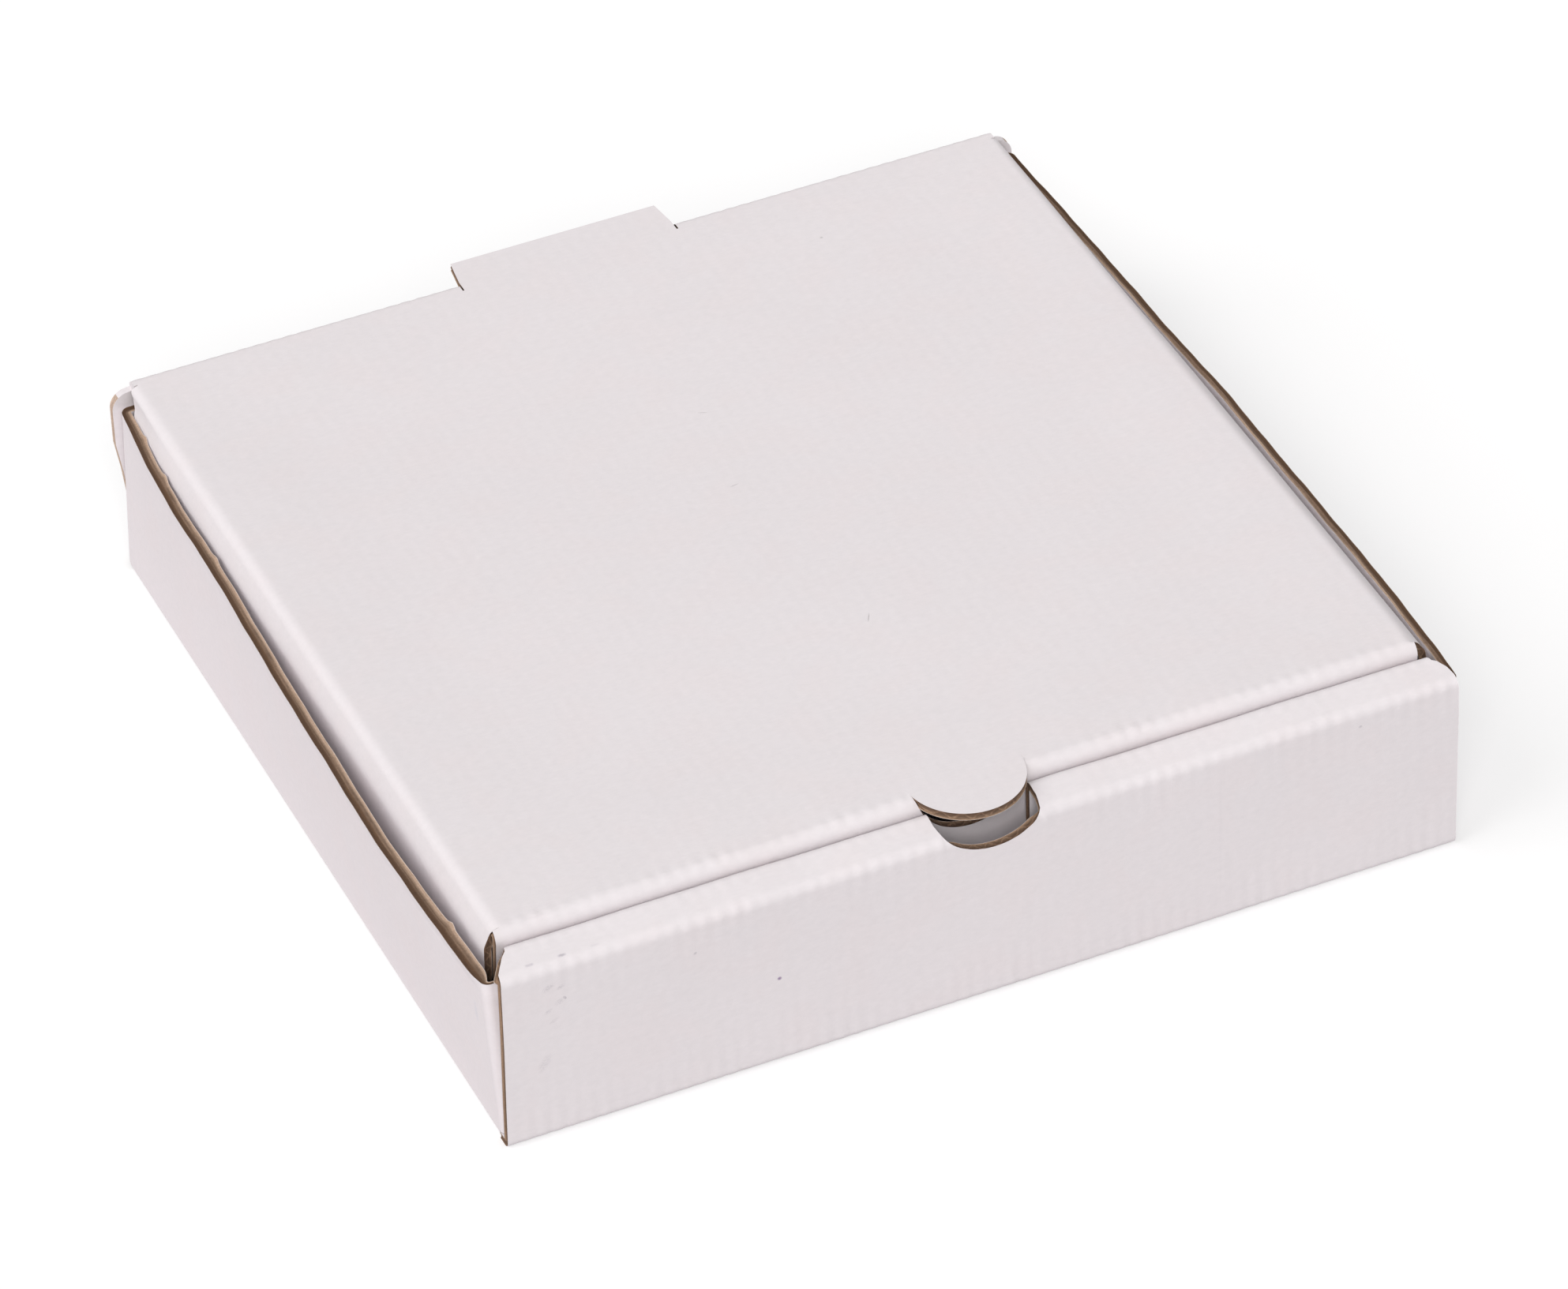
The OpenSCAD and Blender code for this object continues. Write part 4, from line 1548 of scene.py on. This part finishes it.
@dataclass
class Studio:
    """White floor, soft light from the left and from beside the camera, and the photograph's camera.

    Args:
        sky: strength of the even light on the object.
        key: irradiance share of the lamp on the left, on each axis.
        key_spread: its width as the object sees it, in degrees.
        fill: irradiance share of the lamp beside the camera, on each axis.
        fill_spread: its width, likewise.
        floor_half: half width of the floor, in metres.
        floor_seen: linear colour of the floor for the camera.
        floor_lit: linear colour of the floor for all other rays.
        floor_glow: what the floor adds to itself for the camera.
        camera_at: place of the camera, in mm.
        right: the picture's right side as a direction.
        down: its downward direction.
        forward: the direction of view.
        lens: focal length in mm, on a sensor 36 mm wide.
    """

    sky: float = 0.50
    key: tuple[float, float, float] = (-0.257, 0.0, 0.205)
    key_spread: float = 50.0
    fill: tuple[float, float, float] = (-0.145, -0.339, 0.295)
    fill_spread: float = 30.0
    floor_half: float = 6.0
    floor_seen: tuple[float, float, float] = (0.66, 0.66, 0.66)
    floor_lit: tuple[float, float, float] = (0.62, 0.61, 0.62)
    floor_glow: tuple[float, float, float] = (0.38, 0.38, 0.38)
    camera_at: tuple[float, float, float] = (-544.76, -1282.25, 1129.43)
    right: tuple[float, float, float] = (0.910053, -0.413494, -0.028728)
    down: tuple[float, float, float] = (-0.279048, -0.559952, -0.780119)
    forward: tuple[float, float, float] = (0.306489, 0.717967, -0.624971)
    lens: float = 200.99

    def _seen_directly(self, tree: Tree) -> Wire:
        """1 for rays from the camera, and through or off a shiny surface."""
        camera, glossy, through = (tree.add("ShaderNodeLightPath", {}, {}, f"Is {ray} Ray")
                                   for ray in ("Camera", "Glossy", "Transmission"))
        return camera.higher_of(glossy).higher_of(through)

    def build_world(self) -> None:
        """White behind the object, and an even soft light on it."""
        world = bpy.data.worlds.new("studio_sky")
        bpy.context.scene.world = world
        world.use_nodes = True
        tree = Tree(world.node_tree)
        strength = self.sky + (1.0 - self.sky) * self._seen_directly(tree)
        background = world.node_tree.nodes["Background"]
        tree.feed(strength, background, "Strength")
        background.inputs["Color"].default_value = opaque((1.0, 1.0, 1.0))

    def build_lamp(self, name: str, share: Sequence[float], spread: float) -> None:
        """A broad lamp whose irradiance on each axis is pi times its share there.

        Args:
            name: name of the lamp.
            share: share of the light on faces that look along each axis, which also aims the lamp.
            spread: width of the lamp as the object sees it, in degrees.
        """
        size = math.sqrt(sum(v * v for v in share))
        lamp = bpy.data.lights.new(name, "SUN")
        lamp.energy = math.pi * size
        lamp.angle = math.radians(spread)
        lamp.color = (1.0, 0.985, 0.985)
        lamp_object = bpy.data.objects.new(name, lamp)
        aim = Matrix.Identity(3)
        direction = np.asarray(share) / size
        side = np.cross((0.0, 0.0, 1.0), direction)
        side /= np.linalg.norm(side)
        aim.col[0], aim.col[1], aim.col[2] = side, np.cross(direction, side), direction
        lamp_object.matrix_world = aim.to_4x4()
        bpy.context.scene.collection.objects.link(lamp_object)

    def build_floor(self) -> None:
        """A plain pale floor just under the box, white where nothing shades it."""
        h = self.floor_half
        mesh = bpy.data.meshes.new("floor")
        mesh.from_pydata([(-h, -h, 0.0), (h, -h, 0.0), (h, h, 0.0), (-h, h, 0.0)], [], [(0, 1, 2, 3)])
        floor = bpy.data.objects.new("floor", mesh)
        bpy.context.scene.collection.objects.link(floor)
        material, tree, shader = new_material("pale_floor", 1.0)
        shader.inputs["Specular IOR Level"].default_value = 0.0
        seen = self._seen_directly(tree)
        colour = tree.blend_colours(seen, opaque(self.floor_lit), opaque(self.floor_seen))
        tree.feed(colour, shader, "Base Color")
        glow = tree.blend_colours(seen, opaque((0, 0, 0)), opaque(self.floor_glow))
        tree.feed(glow, shader, "Emission Color")
        shader.inputs["Emission Strength"].default_value = 1.0
        mesh.materials.append(material)
        floor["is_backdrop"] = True

    def build_camera(self) -> None:
        """A long lens from the left front, looking down on the lid."""
        data = bpy.data.cameras.new("photo_camera")
        data.lens, data.sensor_width = self.lens, 36.0
        data.clip_start, data.clip_end = 0.05, 60.0
        camera = bpy.data.objects.new("photo_camera", data)
        right, up, back = np.asarray(self.right), -np.asarray(self.down), -np.asarray(self.forward)
        turn = Matrix.Identity(4)
        for axis, column in enumerate((right, up, back, np.asarray(self.camera_at) * MM)):
            turn.col[axis][:3] = column.tolist()
        camera.matrix_world = turn
        bpy.context.scene.collection.objects.link(camera)
        bpy.context.scene.camera = camera

    def build(self) -> None:
        """Builds the world, the lamps, the floor and the camera."""
        self.build_camera()
        self.build_world()
        self.build_lamp("key_light", self.key, self.key_spread)
        self.build_lamp("fill_light", self.fill, self.fill_spread)
        self.build_floor()
        bpy.context.scene.view_settings.view_transform = "Standard"


@dataclass
class MailerBox:
    """The whole box: five pieces of board."""

    tray: TraySheet = field(default_factory=TraySheet)
    lid: LidSheet = field(default_factory=LidSheet)
    left: SideWall = field(default_factory=lambda: SideWall(
        "left_wall", -1,
        lean=((-103.0, 2.0), (-92.0, 2.5), (-76.0, 3.4), (-55.0, 3.7), (-35.0, 3.7), (-12.0, 3.1),
              (20.0, 2.15), (45.0, 1.35), (72.0, 0.95), (88.0, 0.0), (103.0, -2.0)),
        flare=((-103.0, -0.6), (-100.0, -0.5), (-97.0, 0.7), (-88.0, 0.8), (-60.0, 0.5), (60.0, 0.42),
               (90.0, 0.35), (103.0, 0.1)),
        nicks=((88.8, 1.2, 0.5), (74.7, 1.4, 0.45), (44.8, 1.6, 0.4), (-81.3, 1.2, 0.5))))
    right: SideWall = field(default_factory=lambda: SideWall(
        "right_wall", 1,
        lean=((-103.0, 0.7), (-97.0, 1.4), (-88.0, 2.1), (-65.0, 2.35), (-25.0, 2.45), (0.0, 2.35),
              (20.0, 1.8), (53.0, 0.9), (85.0, 0.1), (103.0, -0.4)),
        flare=((-103.0, 0.0), (-85.0, 0.12), (85.0, 0.12), (103.0, 0.0))))

    def front_s(self, z: float) -> float:
        """Distance along the tray sheet at which the front panel passes a height."""
        return self.tray.section.reach(2, 1, z)

    def tray_liner(self) -> Liner:
        """The tray's paper, with the marks on its front.

        Returns:
            The finish.
        """
        grey, violet = (0.36, 0.33, 0.37), (0.16, 0.06, 0.22)
        roll = self.tray.section.bend_at(2)[1]
        smudge = ((-92.8, 37.4, 1.7, 0.8, 0.30), (-90.2, 36.8, 1.1, 0.6, 0.30), (-90.6, 33.2, 1.3, 0.8, 0.28),
                  (-93.0, 31.6, 1.0, 0.5, 0.34), (-89.5, 33.8, 0.35, 0.55, 0.75),
                  (-92.0, 28.9, 1.4, 0.5, 0.20))
        marks = (*(Mark((x, self.front_s(z)), (length, width), show, grey, 25.0, 0.85)
                   for x, z, length, width, show in smudge),
                 Mark((-88.9, roll + 0.1), (1.0, 0.45), 0.55, grey, 0.0, 0.6),
                 Mark((-94.4, self.front_s(19.0)), (2.6, 1.2), 0.22, grey, 60.0, 0.8),
                 Mark((-44.8, self.front_s(21.3)), (0.55, 0.5), 0.85, violet, 0.0, 0.1),
                 Mark((-62.2, self.front_s(34.4)), (0.5, 0.35), 0.45, grey, 30.0, 0.3),
                 Mark((81.1, self.front_s(38.4)), (0.5, 0.4), 0.45, grey, 0.0, 0.3),
                 Mark((50.4, self.front_s(22.0)), (0.5, 19.0), 0.05, grey, 0.0, 0.6))
        return Liner("tray_paper", (0.774, 0.731, 0.745), marks=marks,
                     scuff_rows=((roll + 0.1, -95.6, -72.0, 6.8, 0.6),))

    def lid_liner(self) -> Liner:
        """The lid's paper, with a few dark fibres.

        Returns:
            The finish.
        """
        grey = (0.30, 0.27, 0.27)
        root = self.lid.root - self.lid.tab_y
        marks = (Mark((5.4, root - 36.8), (1.6, 0.16), 0.6, grey, 62.0, 0.3),
                 Mark((-0.8, root + 14.6), (1.2, 0.14), 0.55, grey, 10.0, 0.3),
                 Mark((3.4, root + 39.7), (1.2, 0.14), 0.45, grey, -25.0, 0.3),
                 Mark((50.3, root + 83.7), (0.45, 0.35), 0.5, grey, 0.0, 0.3))
        return Liner("lid_paper", marks=marks)

    def side_liner(self, side: SideWall) -> Liner:
        """A side wall's paper: a pinker copy, partly the paper's own tint and partly painted light for the
        pinkish cast from the left, with a faint bluish rub near the left wall's front end.
        """
        rub = Mark((-95.0, 31.0), (1.0, 3.2), 0.20, (0.42, 0.48, 0.60), 0.0, 0.6)
        marks = (rub,) if side.side < 0 else ()
        # Partly painted light: the walls' paper is a pinker copy of the others, standing in partly for the
        # pinkish cast that the light from the left gives the sides.
        return Liner(side.name + "_paper", (0.774, 0.722, 0.738), marks=marks)

    def build(self) -> None:
        """Builds and dresses every piece, and puts each one but the two hinge creases on its body."""
        edge = RawEdge("brown_raw_edge").make()
        tray_edge = RawEdge("tray_raw_edge", pale_until=self.tray.section.bend_at(0)[0]).make()
        wall_edge = RawEdge("wall_raw_edge", (0.105, 0.054, 0.027), (0.46, 0.325, 0.235), change=0.68,
                            flute_show=0.4).make()
        tray = self.tray.build()
        dress(tray, self.tray_liner(), tray_edge)
        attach(tray, "tray")
        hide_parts("tray")
        for side in (self.left, self.right):
            wall = side.build()
            dress(wall, self.side_liner(side), wall_edge)
            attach(wall, "tray")
            self.report(wall)
        self.report(tray)
        lid = self.lid.build()
        dress(lid, self.lid_liner(), edge)
        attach(lid, "lid")
        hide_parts("lid")
        self.report(lid)
        for name, side_sign in (("crease_left", -1), ("crease_right", 1)):
            crease = HingeCrease(name, side_sign).build()
            dress(crease, Liner(name + "_paper"), edge)
            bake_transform(crease)
            self.report(crease)

    def report(self, piece: bpy.types.Object) -> None:
        """Logs a piece's number of triangles and its size.

        Args:
            piece: the piece.
        """
        piece.data.calc_loop_triangles()
        LOG.info("%s: %d triangles, %s mm", piece.name, len(piece.data.loop_triangles),
                 [round(v / MM, 1) for v in piece.dimensions])


def main() -> None:
    """Loads the model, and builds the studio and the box."""
    logging.basicConfig(level=logging.INFO, format="%(name)s: %(message)s", stream=sys.stdout)
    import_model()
    cad = [list(corner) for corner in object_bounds()]
    Studio().build()
    MailerBox().build()
    visual = [list(corner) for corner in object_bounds()]
    for name, corners in (("cad", cad), ("visual", visual)):
        low, high = [[round(v / MM, 2) for v in corner] for corner in corners]
        LOG.info("%s box: %s to %s mm", name, low, high)


if __name__ == "__main__":
    main()
